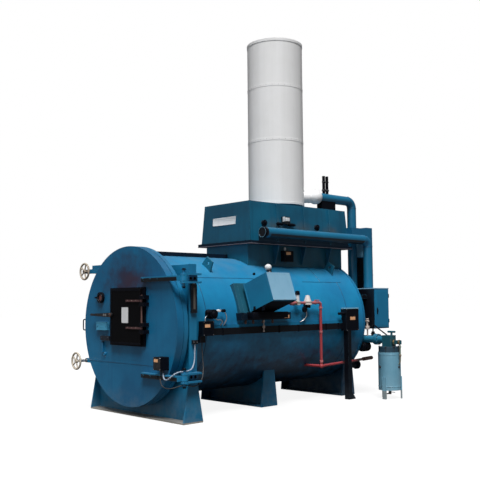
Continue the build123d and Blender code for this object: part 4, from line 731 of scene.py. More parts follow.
DARK_STEEL = MetalFinish("oiled dark steel", (0.1, 0.1, 0.11), (0.04, 0.04, 0.045), (120, 120, 120),
                         0.42)
FLUE_STEEL = MetalFinish("heat stained flue steel", (0.3, 0.25, 0.2), (0.12, 0.09, 0.08), (30, 30, 4),
                         0.5)
BRASS = MetalFinish("valve brass", (0.6, 0.42, 0.22), (0.34, 0.22, 0.12), (120, 120, 120), 0.36)
COPPER = MetalFinish("weathered copper", (0.3, 0.42, 0.36), (0.36, 0.2, 0.13), (70, 70, 70), 0.5, 0.9,
                     0.6)
CLADDING = CladdingFinish("satin stack cladding")
CASTABLE = CastableFinish("rough castable lining")
ROPE = RopeFinish("braided heat rope")
CONDUIT = RubberFinish("grey flexible conduit", (0.33, 0.4, 0.5), (0.22, 0.27, 0.34), 0.42, 900.0)
SHEATH = RubberFinish("dark cable sheath", (0.022, 0.023, 0.026), (0.06, 0.06, 0.062), 0.5)
GRIP = RubberFinish("black moulded grip", (0.012, 0.012, 0.014), (0.035, 0.035, 0.038), 0.42)
SIGHT_GLASS = GlassFinish("reddish sight glass")


def towards(point: Sequence[float], direction: Vector, spin: float=0.0) -> Matrix:
    """Place that puts a piece's foot at a point and its top along a direction.

    Args:
        point: Where the piece's origin goes.
        direction: Where its own Z axis then points.
        spin: Turn round that axis, in radians.

    Returns:
        The place as a matrix.
    """
    turn = direction.to_track_quat("Z", "Y").to_matrix().to_4x4()
    return Matrix.Translation(Vector(point)) @ turn @ Matrix.Rotation(spin, 4, "Z")


def around(count: int, start: float=0.0) -> list[float]:
    """Evenly spread angles round a full turn, in radians."""
    return [start + step * 2 * pi / count for step in range(count)]


@dataclass
class Bench:
    """Modelling moves that the sub-assemblies share."""

    made: list[str] = field(default_factory=list)

    def clear(self) -> None:
        """Leaves nothing selected."""
        bpy.ops.object.select_all(action="DESELECT")

    def take(self, piece: Piece) -> Piece:
        """Selects one piece alone and makes it the active one."""
        self.clear()
        piece.select_set(True)
        bpy.context.view_layer.objects.active = piece
        return piece

    def settle(self, piece: Piece) -> Piece:
        """Moves a piece's place, turn and scale into its mesh."""
        self.take(piece)
        bpy.ops.object.transform_apply(location=True, rotation=True, scale=True)
        return piece

    def slab(self, low: Sequence[float], high: Sequence[float]) -> Piece:
        """Adds a block between two corners."""
        self.clear()
        low_corner = Vector(low)
        high_corner = Vector(high)
        bpy.ops.mesh.primitive_cube_add(size=1.0, location=(low_corner + high_corner) / 2)
        bpy.context.object.scale = high_corner - low_corner
        return self.settle(bpy.context.object)

    def drum(self, foot: Sequence[float], top: Sequence[float], radius: float, tip: float | None=None,
             sides: int=32) -> Piece:
        """Adds a round, tapered or many sided bar between two points.

        Args:
            foot: Centre of the first end.
            top: Centre of the other end.
            radius: Radius at the first end.
            tip: Radius at the other end, the same if not given.
            sides: Number of flats.

        Returns:
            The bar.
        """
        self.clear()
        start = Vector(foot)
        run = Vector(top) - start
        bpy.ops.mesh.primitive_cone_add(vertices=sides, radius1=radius, depth=run.length, radius2=radius
                                        if tip is None else tip, location=(0, 0, 0))
        bar = bpy.context.object
        bar.matrix_world = towards(start + run / 2, run.normalized())
        return self.settle(bar)

    def hoop(self, centre: Sequence[float], direction: Vector, radius: float, thickness: float,
             sides: int=48, rings: int=8) -> Piece:
        """Adds a round ring.

        Args:
            centre: Middle of the ring.
            direction: Its axis.
            radius: From the middle to the ring's own core.
            thickness: Radius of the ring's section.
            sides: Steps round the ring.
            rings: Steps round its section.

        Returns:
            The ring.
        """
        self.clear()
        bpy.ops.mesh.primitive_torus_add(major_radius=radius, minor_radius=thickness,
                                         major_segments=sides, minor_segments=rings)
        ring = bpy.context.object
        ring.matrix_world = towards(centre, direction)
        return self.settle(ring)

    def ball(self, centre: Sequence[float], radius: float, squash: float=1.0) -> Piece:
        """Adds a ball, flattened along the height where squash is under one."""
        self.clear()
        bpy.ops.mesh.primitive_uv_sphere_add(segments=24, ring_count=14, radius=radius, location=centre)
        bpy.context.object.scale = (1.0, 1.0, squash)
        return self.settle(bpy.context.object)

    def band(self, foot: Sequence[float], top: Sequence[float], outer: float, wall: float,
             sides: int=96) -> Piece:
        """Adds an open ring of sheet.

        Args:
            foot: Centre of the first end.
            top: Centre of the other end.
            outer: Outside radius.
            wall: Thickness, taken inwards.
            sides: Steps round the ring.

        Returns:
            The ring.
        """
        self.clear()
        start = Vector(foot)
        run = Vector(top) - start
        bpy.ops.mesh.primitive_cylinder_add(vertices=sides, radius=outer, depth=run.length,
                                            end_fill_type="NOTHING")
        ring = bpy.context.object
        ring.matrix_world = towards(start + run / 2, run.normalized())
        self.settle(ring)
        return self.modify(ring, "SOLIDIFY", thickness=wall, offset=-1.0)

    def modify(self, piece: Piece, kind: str, **settings: object) -> Piece:
        """Adds a modifier and applies it at once."""
        self.take(piece)
        modifier = piece.modifiers.new(kind.lower(), kind)
        for key, value in settings.items():
            setattr(modifier, key, value)
        bpy.ops.object.modifier_apply(modifier=modifier.name)
        return piece

    def chamfer(self, piece: Piece, width: float, steps: int=2) -> Piece:
        """Rounds a piece's sharp edges and smooths what is left."""
        self.modify(piece, "BEVEL", width=width, segments=steps, limit_method="ANGLE",
                    angle_limit=SHARP_ANGLE, use_clamp_overlap=True)
        return self.smooth(piece)

    def rod(self, foot: Sequence[float], top: Sequence[float], radius: float, edge: float,
            tip: float | None=None, sides: int=32, steps: int=2) -> Piece:
        """Adds a bar as drum does, with rounded edges.

        Args:
            foot: Centre of the first end.
            top: Centre of the other end.
            radius: Radius at the first end.
            edge: Width of the rounding.
            tip: Radius at the other end, the same if not given.
            sides: Number of flats.
            steps: Steps across the rounding.

        Returns:
            The bar.
        """
        return self.chamfer(self.drum(foot, top, radius, tip, sides), edge, steps)

    def block(self, low: Sequence[float], high: Sequence[float], edge: float, steps: int=2,
              inset: tuple[Facing, float, float] | None=None) -> Piece:
        """Adds a block between two corners, with rounded edges.

        Args:
            low: The corner with the least of each measure.
            high: The corner across from it.
            edge: Width of the rounding.
            steps: Steps across the rounding.
            inset: A side that gets a panel, with the panel's border and depth.

        Returns:
            The block.
        """
        piece = self.slab(low, high)
        if inset:
            self.panel(piece, *inset)
        return self.chamfer(piece, edge, steps)

    def bolts(self, radius: float, facing: Facing, spots: Sequence[Point], washer: bool=True) -> Piece:
        """Sets hexagon heads that all look one way."""
        return self.spread(self.bolt(radius, washer), [towards(spot, facing.vector) for spot in spots])

    def rivets(self, radius: float, facing: Facing, spots: Sequence[Point]) -> Piece:
        """Sets domed heads that all look one way."""
        return self.spread(self.rivet(radius), [towards(spot, facing.vector) for spot in spots])

    def smooth(self, piece: Piece, angle: float=34.0) -> Piece:
        """Shades a piece smooth up to an angle in degrees."""
        self.take(piece)
        bpy.ops.object.shade_smooth_by_angle(angle=radians(angle))
        return piece

    @contextmanager
    def editing(self, piece: Piece, pick: Callable[[bmesh.types.BMFace], bool]) -> Iterator[None]:
        """Opens a piece in edit mode with some faces picked.

        Args:
            piece: The piece to work on.
            pick: Says of each face whether it is picked.

        Yields:
            Nothing; operators inside the block act on the picked faces.
        """
        self.take(piece)
        bpy.ops.object.mode_set(mode="EDIT")
        bpy.ops.mesh.select_mode(type="FACE")
        bpy.ops.mesh.select_all(action="DESELECT")
        sheet = bmesh.from_edit_mesh(piece.data)
        for face in sheet.faces:
            face.select_set(pick(face))
        bmesh.update_edit_mesh(piece.data)
        yield
        bpy.ops.object.mode_set(mode="OBJECT")

    def panel(self, piece: Piece, facing: Facing, border: float, depth: float) -> Piece:
        """Insets the faces that look one way, sunk or raised by a depth."""
        with self.editing(piece, lambda face: face.normal.dot(facing.vector) > 0.98):
            bpy.ops.mesh.inset(thickness=border, depth=0.0)
            bpy.ops.mesh.inset(thickness=abs(depth) * 0.4, depth=depth)
        return piece

    def trim(self, piece: Piece, point: Sequence[float], normal: Point) -> Piece:
        """Cuts a piece along a plane, drops the normal's side and closes the cut."""
        self.take(piece)
        bpy.ops.object.mode_set(mode="EDIT")
        bpy.ops.mesh.select_all(action="SELECT")
        bpy.ops.mesh.bisect(plane_co=point, plane_no=normal, clear_outer=True, use_fill=True)
        bpy.ops.object.mode_set(mode="OBJECT")
        return piece

    def join(self, pieces: Sequence[Piece]) -> Piece:
        """Makes several pieces one."""
        self.clear()
        for piece in pieces:
            piece.select_set(True)
        bpy.context.view_layer.objects.active = pieces[0]
        if len(pieces) > 1:
            bpy.ops.object.join()
        return pieces[0]

    def spread(self, source: Piece, places: Sequence[Matrix]) -> Piece:
        """Copies a piece to several places, each copy with its own mesh, and joins them.

        Args:
            source: The piece, at the origin with its top along Z.
            places: Where each copy goes.

        Returns:
            The joined copies.
        """
        copies = []
        for place in places:
            copy = source.copy()
            copy.data = source.data.copy()
            bpy.context.scene.collection.objects.link(copy)
            copy.matrix_world = place
            copies.append(self.settle(copy))
        bpy.data.objects.remove(source)
        return self.join(copies)

    def bolt(self, radius: float, washer: bool=True) -> Piece:
        """Models a hexagon head on its washer, standing at the origin."""
        foot = radius * 0.22 if washer else 0.0
        head = self.chamfer(self.drum((0, 0, foot), (0, 0, foot + radius * 0.75), radius, sides=6),
                            radius * 0.12, 1)
        if not washer:
            return head
        disc = self.chamfer(self.drum((0, 0, 0), (0, 0, foot), radius * 1.45, sides=20), radius * 0.08,
                            1)
        return self.join([head, disc])

    def rivet(self, radius: float) -> Piece:
        """Models a low domed head, standing at the origin."""
        self.clear()
        bpy.ops.mesh.primitive_uv_sphere_add(segments=12, ring_count=8, radius=radius)
        dome = self.trim(bpy.context.object, (0, 0, 0), (0, 0, -1))
        dome.scale = (1.0, 1.0, 0.6)
        return self.smooth(self.settle(dome), 60)

    def hose(self, points: Sequence[Point], radius: float) -> Piece:
        """Makes a smooth tube through the run of some points."""
        self.clear()
        line = bpy.data.curves.new("run", "CURVE")
        line.dimensions = "3D"
        line.bevel_depth = radius
        line.bevel_resolution = 4
        line.resolution_u = 10
        line.use_fill_caps = True
        spline = line.splines.new("NURBS")
        spline.points.add(len(points) - 1)
        for knot, point in zip(spline.points, points):
            knot.co = (*point, 1.0)
        spline.order_u = 3
        spline.use_endpoint_u = True
        tube = bpy.data.objects.new("run", line)
        bpy.context.scene.collection.objects.link(tube)
        self.take(tube)
        bpy.ops.object.convert(target="MESH")
        return self.smooth(bpy.context.object, 60)

    def fit(self, name: str, finish: Finish, slot: Slot, *pieces: Piece,
            body: Body=Body.FURNACE) -> Piece:
        """Joins finished pieces under one name, paints them and hangs them on their body.

        Args:
            name: Name of the joined piece.
            finish: What it is painted with.
            slot: The record's slot that it belongs to; not used.
            pieces: The pieces, already in their places.
            body: What it moves with.

        Returns:
            The joined piece.
        """
        piece = self.join(pieces)
        piece.name = name
        piece.data.name = name
        piece.data.materials.clear()
        piece.data.materials.append(finish.material())
        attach(piece, body.value)
        self.made.append(name)
        LOG.info("%s: %d faces on %s", name, len(piece.data.polygons), body.value)
        return piece


def dress(finish: Finish, *nodes: str) -> None:
    """Paints nodes of the frame with a finish."""
    for name in nodes:
        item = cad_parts[name]
        if not item.material_slots:
            item.data.materials.append(finish.material())
        for place in item.material_slots:
            place.material = finish.material()
        LOG.info("%s: %s", name, finish.name)


@dataclass
class Barrel:
    """Round furnace shell with its welded seams and drain port."""

    bench: Bench
    seam_angle: float = radians(41.6)
    rear_angle: float = radians(38.7)
    bead: float = 0.0042

    def build(self) -> None:
        """Welds the seams, nuts the drain port and paints the shell."""
        dress(SHELL_ENAMEL, "shell")
        dress(ENAMEL, "rear_head", "middle_saddle")
        dress(SHADED_NECK_ENAMEL, "lifting_lugs", "neck_casing")
        dress(SHADED_SADDLE_ENAMEL, "rear_saddle")
        dress(LID_PAINT, "crown_rail", "drain_port")
        dress(CASTABLE, "lining", "chamber_linings")
        bench = self.bench
        height = AXIS_Z + SHELL_RADIUS * sin(self.seam_angle)
        rear_height = AXIS_Z + SHELL_RADIUS * sin(self.rear_angle)
        beads = []
        for along, level, normal in ((-1.397, height, (0, 0, 1)), (1.430, rear_height, (0, 0, 1)),
                                     (1.050, rear_height, (0, 0, -1))):
            ring = bench.hoop((0, along, AXIS_Z), Facing.REAR.vector, SHELL_RADIUS, self.bead, 160, 8)
            beads.append(bench.trim(ring, (0, 0, level), normal))
        for side in (1, -1):
            for angle, level, start, stop in ((self.seam_angle, height, -1.40, -0.335),
                                              (self.rear_angle, rear_height, 0.645, 1.535)):
                across = side * SHELL_RADIUS * cos(angle)
                beads.append(bench.drum((across, start, level), (across, stop, level), self.bead, sides=10))
        bench.fit("shell_seams", SEAM_ENAMEL, Slot.BLUE, bench.smooth(bench.join(beads), 50))
        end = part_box("drain_port")[1].y
        spots = [(0.490 + 0.056 * cos(turn), end - 0.012, 0.440 + 0.056 * sin(turn)) for turn in around(6)]
        bench.fit("drain_port_nuts", BOLT_STEEL, Slot.STEEL, bench.bolts(0.008, Facing.FRONT, spots))


@dataclass
class FrontFrame:
    """Front base with its posts, hinge brackets and the small gauge on the hinge post."""

    bench: Bench
    hinge: tuple[float, float] = (1.105, -1.902)
    levels: tuple[float, float] = (1.780, 0.570)

    def build(self) -> None:
        """Adds nuts and bolts and paints the frame."""
        dress(SADDLE_ENAMEL, "front_saddle")
        dress(ENAMEL, "hinge_brackets", "front_flange")
        dress(GAUGE_PAINT, "post_fittings")
        dress(CONDUIT, "post_conduit")
        dress(SHEATH, "post_lead")
        bench = self.bench
        ends = [towards((*self.hinge, level + side * 0.101), Vector((0, 0, side)), 0.3)
                for level in self.levels for side in (1, -1)]
        bench.fit("hinge_pin_nuts", BLACK_PAINT, Slot.BLACK, bench.spread(bench.bolt(0.022), ends))
        spots = [towards((x, -1.852, 1.940), Facing.FRONT.vector, 0.2) for x in (-0.790, -0.865)]
        spots += [towards((1.070, y, level), Facing.RIGHT.vector)
                  for level in self.levels for y in (-1.700, -1.765)]
        bench.fit("bracket_bolts", BLACK_PAINT, Slot.BLACK, bench.spread(bench.bolt(0.013), spots))
        self.gauge()

    def gauge(self) -> None:
        """Sets the strip, the bezel and the cap of the level gauge, and screws the cable clip."""
        bench = self.bench
        strip = bench.block((1.0775, -1.731, 1.402), (1.0800, -1.700, 1.660), 0.0008, 1)
        bench.fit("gauge_strip", STRIP_PAINT, Slot.PALE_BLUE,
                  bench.panel(strip, Facing.RIGHT, 0.004, -0.0008))
        bezel = bench.slab((1.0770, -1.737, 1.394), (1.0815, -1.694, 1.668))
        with bench.editing(bezel, lambda face: face.normal.x > 0.9):
            bpy.ops.mesh.inset(thickness=0.0055, depth=0.0)
            bpy.ops.mesh.inset(thickness=0.0002, depth=-0.0042)
        bench.fit("gauge_bezel", DARK_STEEL, Slot.BLACK, bench.smooth(bezel))
        foot = (1.063, -1.713, 1.709)
        bench.fit("gauge_cap", CREAM_PAINT, Slot.BRASS,
                  bench.rod(foot, (1.063, -1.713, 1.728), 0.011, 0.002, 0.008),
                  bench.rod(foot, (1.063, -1.713, 1.715), 0.015, 0.001, sides=6))
        spots = [(1.080, y, 0.995) for y in (-1.726, -1.679)]
        bench.fit("clip_screws", BOLT_STEEL, Slot.STEEL, bench.rivets(0.006, Facing.RIGHT, spots))


GAUGE_PAINT = PaintFinish("black gauge housing", BLACK, DEEP_BLACK, chip_and_highlight=(0.2, 0.2, 0.2), gloss=0.36,
                          dust_tint=(0.07, 0.08, 0.09))
# The fittings' pale blue is painted light on the catch.
FITTING_PAINT = PaintFinish("latch paint lightened as painted light, with a dark handle", (0.08, 0.4, 0.64), (0.04, 0.28, 0.48),
                            chip_and_highlight=(0.2, 0.2, 0.2), gloss=0.36,
                            zones=(Zone((-1.3, -2.2, 0.7), (-0.8, -1.8, 1.5), (0.01, 0.022, 0.036),
                                        (0.006, 0.012, 0.02)),
                                   Zone((-0.66, -2.2, 0.95), (-0.36, -1.8, 1.06), (0.01, 0.016, 0.028),
                                        (0.006, 0.009, 0.016)),
                                   Zone((-0.66, -2.2, 0.7), (-0.36, -1.8, 0.95), (0.01, 0.165, 0.345),
                                        (0.007, 0.105, 0.24))))


@dataclass
class Door:
    """Round main door with its arms, sight port and small fittings."""

    bench: Bench
    face_y: float = -1.962
    sight: tuple[float, float] = (-0.625, 1.559)

    def build(self) -> None:
        """Adds what is bolted to the door and paints it."""
        dress(DOOR_ENAMEL, "door_casing")
        dress(BRACKET_ENAMEL, "door_brackets")
        dress(BLACK_PAINT, "door_switch_box", "sight_port")
        dress(CASTABLE, "door_lining")
        dress(ROPE, "door_gasket")
        dress(FITTING_PAINT, "door_fittings")
        dress(CONDUIT, "door_conduit")
        dress(SHEATH, "door_lead")
        bench = self.bench
        run = bench.drum((-0.925, self.face_y, 0.690), (0.730, self.face_y, 0.690), 0.0032, sides=10)
        rim = bench.hoop((0, self.face_y + 0.0035, AXIS_Z), Facing.REAR.vector, 1.040, 0.004, 160, 8)
        bench.fit("door_seam", SEAM_ENAMEL, Slot.BLUE, bench.smooth(bench.join([run, rim]), 50),
                  body=Body.DOOR)
        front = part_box("door_brackets")[0].y
        spots = [towards((x, front, level), Facing.FRONT.vector, 0.25 * x)
                 for level in (1.780, 0.570) for x in (0.410, 0.560, 0.710)]
        bench.fit("arm_bolts", BRACKET_ENAMEL, Slot.BLACK, bench.spread(bench.bolt(0.012), spots),
                  body=Body.DOOR)
        self.sight_port()
        self.switch_box()
        boss = bench.drum((-0.532, self.face_y, 0.797), (-0.532, self.face_y - 0.022, 0.797), 0.026, 0.022)
        bench.panel(boss, Facing.FRONT, 0.006, -0.004)
        bench.fit("door_boss", DOOR_ENAMEL, Slot.BLUE, bench.chamfer(boss, 0.002), body=Body.DOOR)
        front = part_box("door_fittings")[0].y
        spots = [(x, front, z) for x, z in ((-0.675, 1.172), (-0.468, 1.172), (-0.560, 1.010),
                                            (-0.420, 1.010))]
        bench.fit("catch_bolts", FITTING_PAINT, Slot.BLACK, bench.bolts(0.0085, Facing.FRONT, spots),
                  body=Body.DOOR)

    def sight_port(self) -> None:
        """Glazes the sight port, bolts its ring and adds its latch."""
        bench = self.bench
        x, z = self.sight
        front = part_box("sight_port")[0].y
        glass = bench.rod((x, -1.976, z), (x, -1.981, z), 0.047, 0.002, 0.045, 48)
        bench.fit("sight_glass", SIGHT_GLASS, Slot.BLACK, glass, body=Body.DOOR)
        ring = bench.smooth(bench.hoop((x, front + 0.001, z), Facing.REAR.vector, 0.053, 0.0035, 48))
        spots = [(x + 0.064 * cos(turn), front, z + 0.064 * sin(turn)) for turn in around(6, pi / 6)]
        bench.fit("sight_ring_bolts", DARK_STEEL, Slot.BLACK, ring,
                  bench.bolts(0.0055, Facing.FRONT, spots, washer=False), body=Body.DOOR)
        latch = bench.block((x - 0.128, -1.980, z - 0.010), (x - 0.070, front, z + 0.012), 0.003,
                            inset=(Facing.FRONT, 0.004, 0.003))
        stud = bench.rod((x - 0.105, self.face_y, z), (x - 0.105, -1.982, z), 0.012, 0.001)
        bench.fit("sight_latch", BLACK_PAINT, Slot.BLACK, latch, stud, body=Body.DOOR)

    def switch_box(self) -> None:
        """Gives the switch box its lid, screws, bare plate and cable glands."""
        bench = self.bench
        low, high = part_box("door_switch_box")
        lid = bench.block((low.x + 0.004, low.y - 0.004, low.z + 0.004),
                          (high.x - 0.004, low.y, high.z - 0.004),
                          0.0012, 1, (Facing.FRONT, 0.012, -0.0015))
        bench.fit("switch_box_lid", GRIP, Slot.BLACK, lid, body=Body.DOOR)
        spots = [(x, low.y - 0.004, z) for x in (low.x + 0.011, high.x - 0.011)
                 for z in (low.z + 0.011, high.z - 0.011)]
        bench.fit("switch_box_screws", BOLT_STEEL, Slot.STEEL, bench.rivets(0.0045, Facing.FRONT, spots),
                  body=Body.DOOR)
        plate = bench.block((low.x + 0.020, low.y - 0.0062, high.z - 0.062),
                            (high.x - 0.052, low.y - 0.0030, high.z - 0.024), 0.0008, 1)
        bench.fit("switch_box_plate", ORANGE_PAINT, Slot.BRASS, plate, body=Body.DOOR)
        glands = []
        for x, radius in ((0.850, 0.017), (0.806, 0.014)):
            middle = (x, -2.027, low.z - 0.016)
            glands.append(bench.rod(middle, (x, -2.027, low.z), radius, 0.0015, sides=6, steps=1))
            glands.append(bench.rod((x, -2.027, low.z - 0.034), middle, radius * 0.62, 0.0015, radius * 0.86,
                                    steps=1))
        bench.fit("switch_box_glands", DARK_STEEL, Slot.BLACK, *glands, body=Body.DOOR)


STRAP_RED: Colour = (0.115, 0.06, 0.062)
DEEP_STRAP: Colour = (0.06, 0.034, 0.036)
LEAF_PAINT = PaintFinish("heat blackened hatch paint", (0.002, 0.002, 0.003), (0.001, 0.001, 0.0015),
                         chip_and_highlight=(0.08, 0.055, 0.05), dust_tint=(0.014, 0.012, 0.013), gloss=0.55, wear_and_highlight=0.7,
                         specular=0.1, zones=(Zone((0.04, -2.2, 1.149), (0.44, -2.0215, 1.173),
                                                   STRAP_RED, DEEP_STRAP),
                                              Zone((0.04, -2.2, 1.498), (0.44, -2.0215, 1.523),
                                                   STRAP_RED, DEEP_STRAP)))


@dataclass
class ChargingHatch:
    """Small hatch in the main door, with straps, a bare plate and a lever."""

    bench: Bench
    leaf_low: Point = (-0.325, -2.021, 0.940)
    leaf_high: Point = (0.362, -2.021, 1.670)
    pin: tuple[float, float] = (0.402, -2.027)
    pivot: Point = (-0.290, -2.037, 1.325)

    def build(self) -> None:
        """Adds the hatch's border, rivets and plate, and paints it."""
        dress(LEAF_PAINT, "hatch_leaf")
        dress(BLACK_PAINT, "hatch_frame")
        dress(CASTABLE, "hatch_plug")
        dress(RUSTY_STEEL, "hatch_pins")
        dress(GRIP, "hatch_handle")
        bench = self.bench
        x0, y0, z0 = self.leaf_low
        x1, _, z1 = self.leaf_high
        bars = [bench.block((left, y0 - 0.004, low), (right, y0, high), 0.0012, 1) for left, low, right,
                high in (
            (x0 + 0.004, z0 + 0.004, x0 + 0.030, z1 - 0.004),
            (x0 + 0.030, z0 + 0.004, x1 - 0.004, z0 + 0.030),
            (x0 + 0.030, z1 - 0.030, x1 - 0.004, z1 - 0.004))]
        bench.fit("hatch_border", BLACK_PAINT, Slot.BLACK, *bars, body=Body.HATCH)
        spots = [(x, -2.033, level) for level in (1.160, 1.510) for x in (0.090, 0.185, 0.280)]
        bench.fit("strap_bolts", RUSTY_STEEL, Slot.BLACK, bench.rivets(0.011, Facing.FRONT, spots),
                  body=Body.HATCH)
        low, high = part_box("hatch_pins")
        ends = [towards((*self.pin, high.z), Facing.UP.vector),
                towards((*self.pin, low.z), Facing.DOWN.vector)]
        bench.fit("hinge_rod_nuts", RUSTY_STEEL, Slot.STEEL, bench.spread(bench.bolt(0.014), ends),
                  body=Body.HATCH)
        plate = bench.block((-0.052, y0 - 0.0045, 1.223), (0.095, y0, 1.427), 0.001, 1,
                            (Facing.FRONT, 0.006, -0.0006))
        bench.fit("hatch_plate", WHITE_PAINT, Slot.PALE_BLUE, plate, body=Body.HATCH)
        spots = [(x, y0 - 0.0045, z) for x in (-0.043, 0.086) for z in (1.232, 1.418)]
        bench.fit("hatch_plate_rivets", BOLT_STEEL, Slot.STEEL, bench.rivets(0.0035, Facing.FRONT, spots),
                  body=Body.HATCH)
        self.lever()

    def lever(self) -> None:
        """Gives the lever its grip, collars and pivot nut."""
        bench = self.bench
        x, y, z = self.pivot
        grip = bench.drum((x - 0.330, y, z), (x - 0.486, y, z), 0.012, 0.017)
        with bench.editing(grip, lambda face: face.normal.x < -0.9):
            bpy.ops.mesh.inset(thickness=0.006, depth=0.006)
        bench.fit("lever_grip", GRIP, Slot.STEEL, bench.chamfer(grip, 0.004, 3), body=Body.HANDLE)
        collars = [bench.rod((x - near, y, z), (x - far, y, z), size, 0.003)
                   for near, far, size in ((0.092, 0.112, 0.019), (0.124, 0.136, 0.016),
                                           (0.148, 0.162, 0.019))]
        bench.fit("lever_collars", WHEEL_STEEL, Slot.STEEL, *collars, body=Body.HANDLE)
        nut = bench.bolts(0.013, Facing.FRONT, [(x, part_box("hatch_pins")[0].y, z)], washer=False)
        bench.fit("lever_nut", DARK_STEEL, Slot.STEEL, nut, body=Body.HATCH)


@dataclass
class Clamps:
    """Two screw clamps at the door's free edge."""

    bench: Bench
    x: float = -1.000
    pitch: float = 0.005

    def build(self) -> None:
        """Threads the spindles and finishes the wheels."""
        dress(WHEEL_PAINT, "upper_handwheel", "lower_handwheel")
        dress(ROD_STEEL, "upper_spindle", "lower_spindle")
        self.finish_wheel("upper_clamp", 1.930, -2.007, 7, Body.UPPER_WHEEL)
        self.finish_wheel("lower_clamp", 0.683, -2.132, 22, Body.LOWER_WHEEL)

    def finish_wheel(self, name: str, level: float, front: float, turns: int, body: Body) -> None:
        """Adds one wheel's hub nut and the thread behind it.

        Args:
            name: First words of the pieces' names.
            level: Height of the spindle.
            front: Y of the wheel's middle plane.
            turns: Turns of thread that show.
            body: The clamp that the pieces ride on.
        """
        bench = self.bench
        pieces = [bench.smooth(bench.hoop((self.x, front, level), Facing.REAR.vector, 0.0275, 0.003, 32),
                               60)]
        if body is Body.UPPER_WHEEL:
            pieces.append(bench.bolts(0.0125, Facing.FRONT, [(self.x, front - 0.017, level)], washer=False))
        places = [Matrix.Translation((self.x, front + 0.024 + step * self.pitch, level))
                  @ Matrix.Rotation(pi / 2, 4, "X") for step in range(turns)]
        thread = bench.spread(bench.hoop((0, 0, 0), Facing.UP.vector, 0.0165, 0.0022, 20, 6), places)
        bench.fit(f"{name}_hub_nut", DARK_STEEL, Slot.BLACK, *pieces, body=body)
        bench.fit(f"{name}_thread", ROD_STEEL, Slot.BLACK, bench.smooth(thread, 60), body=body)


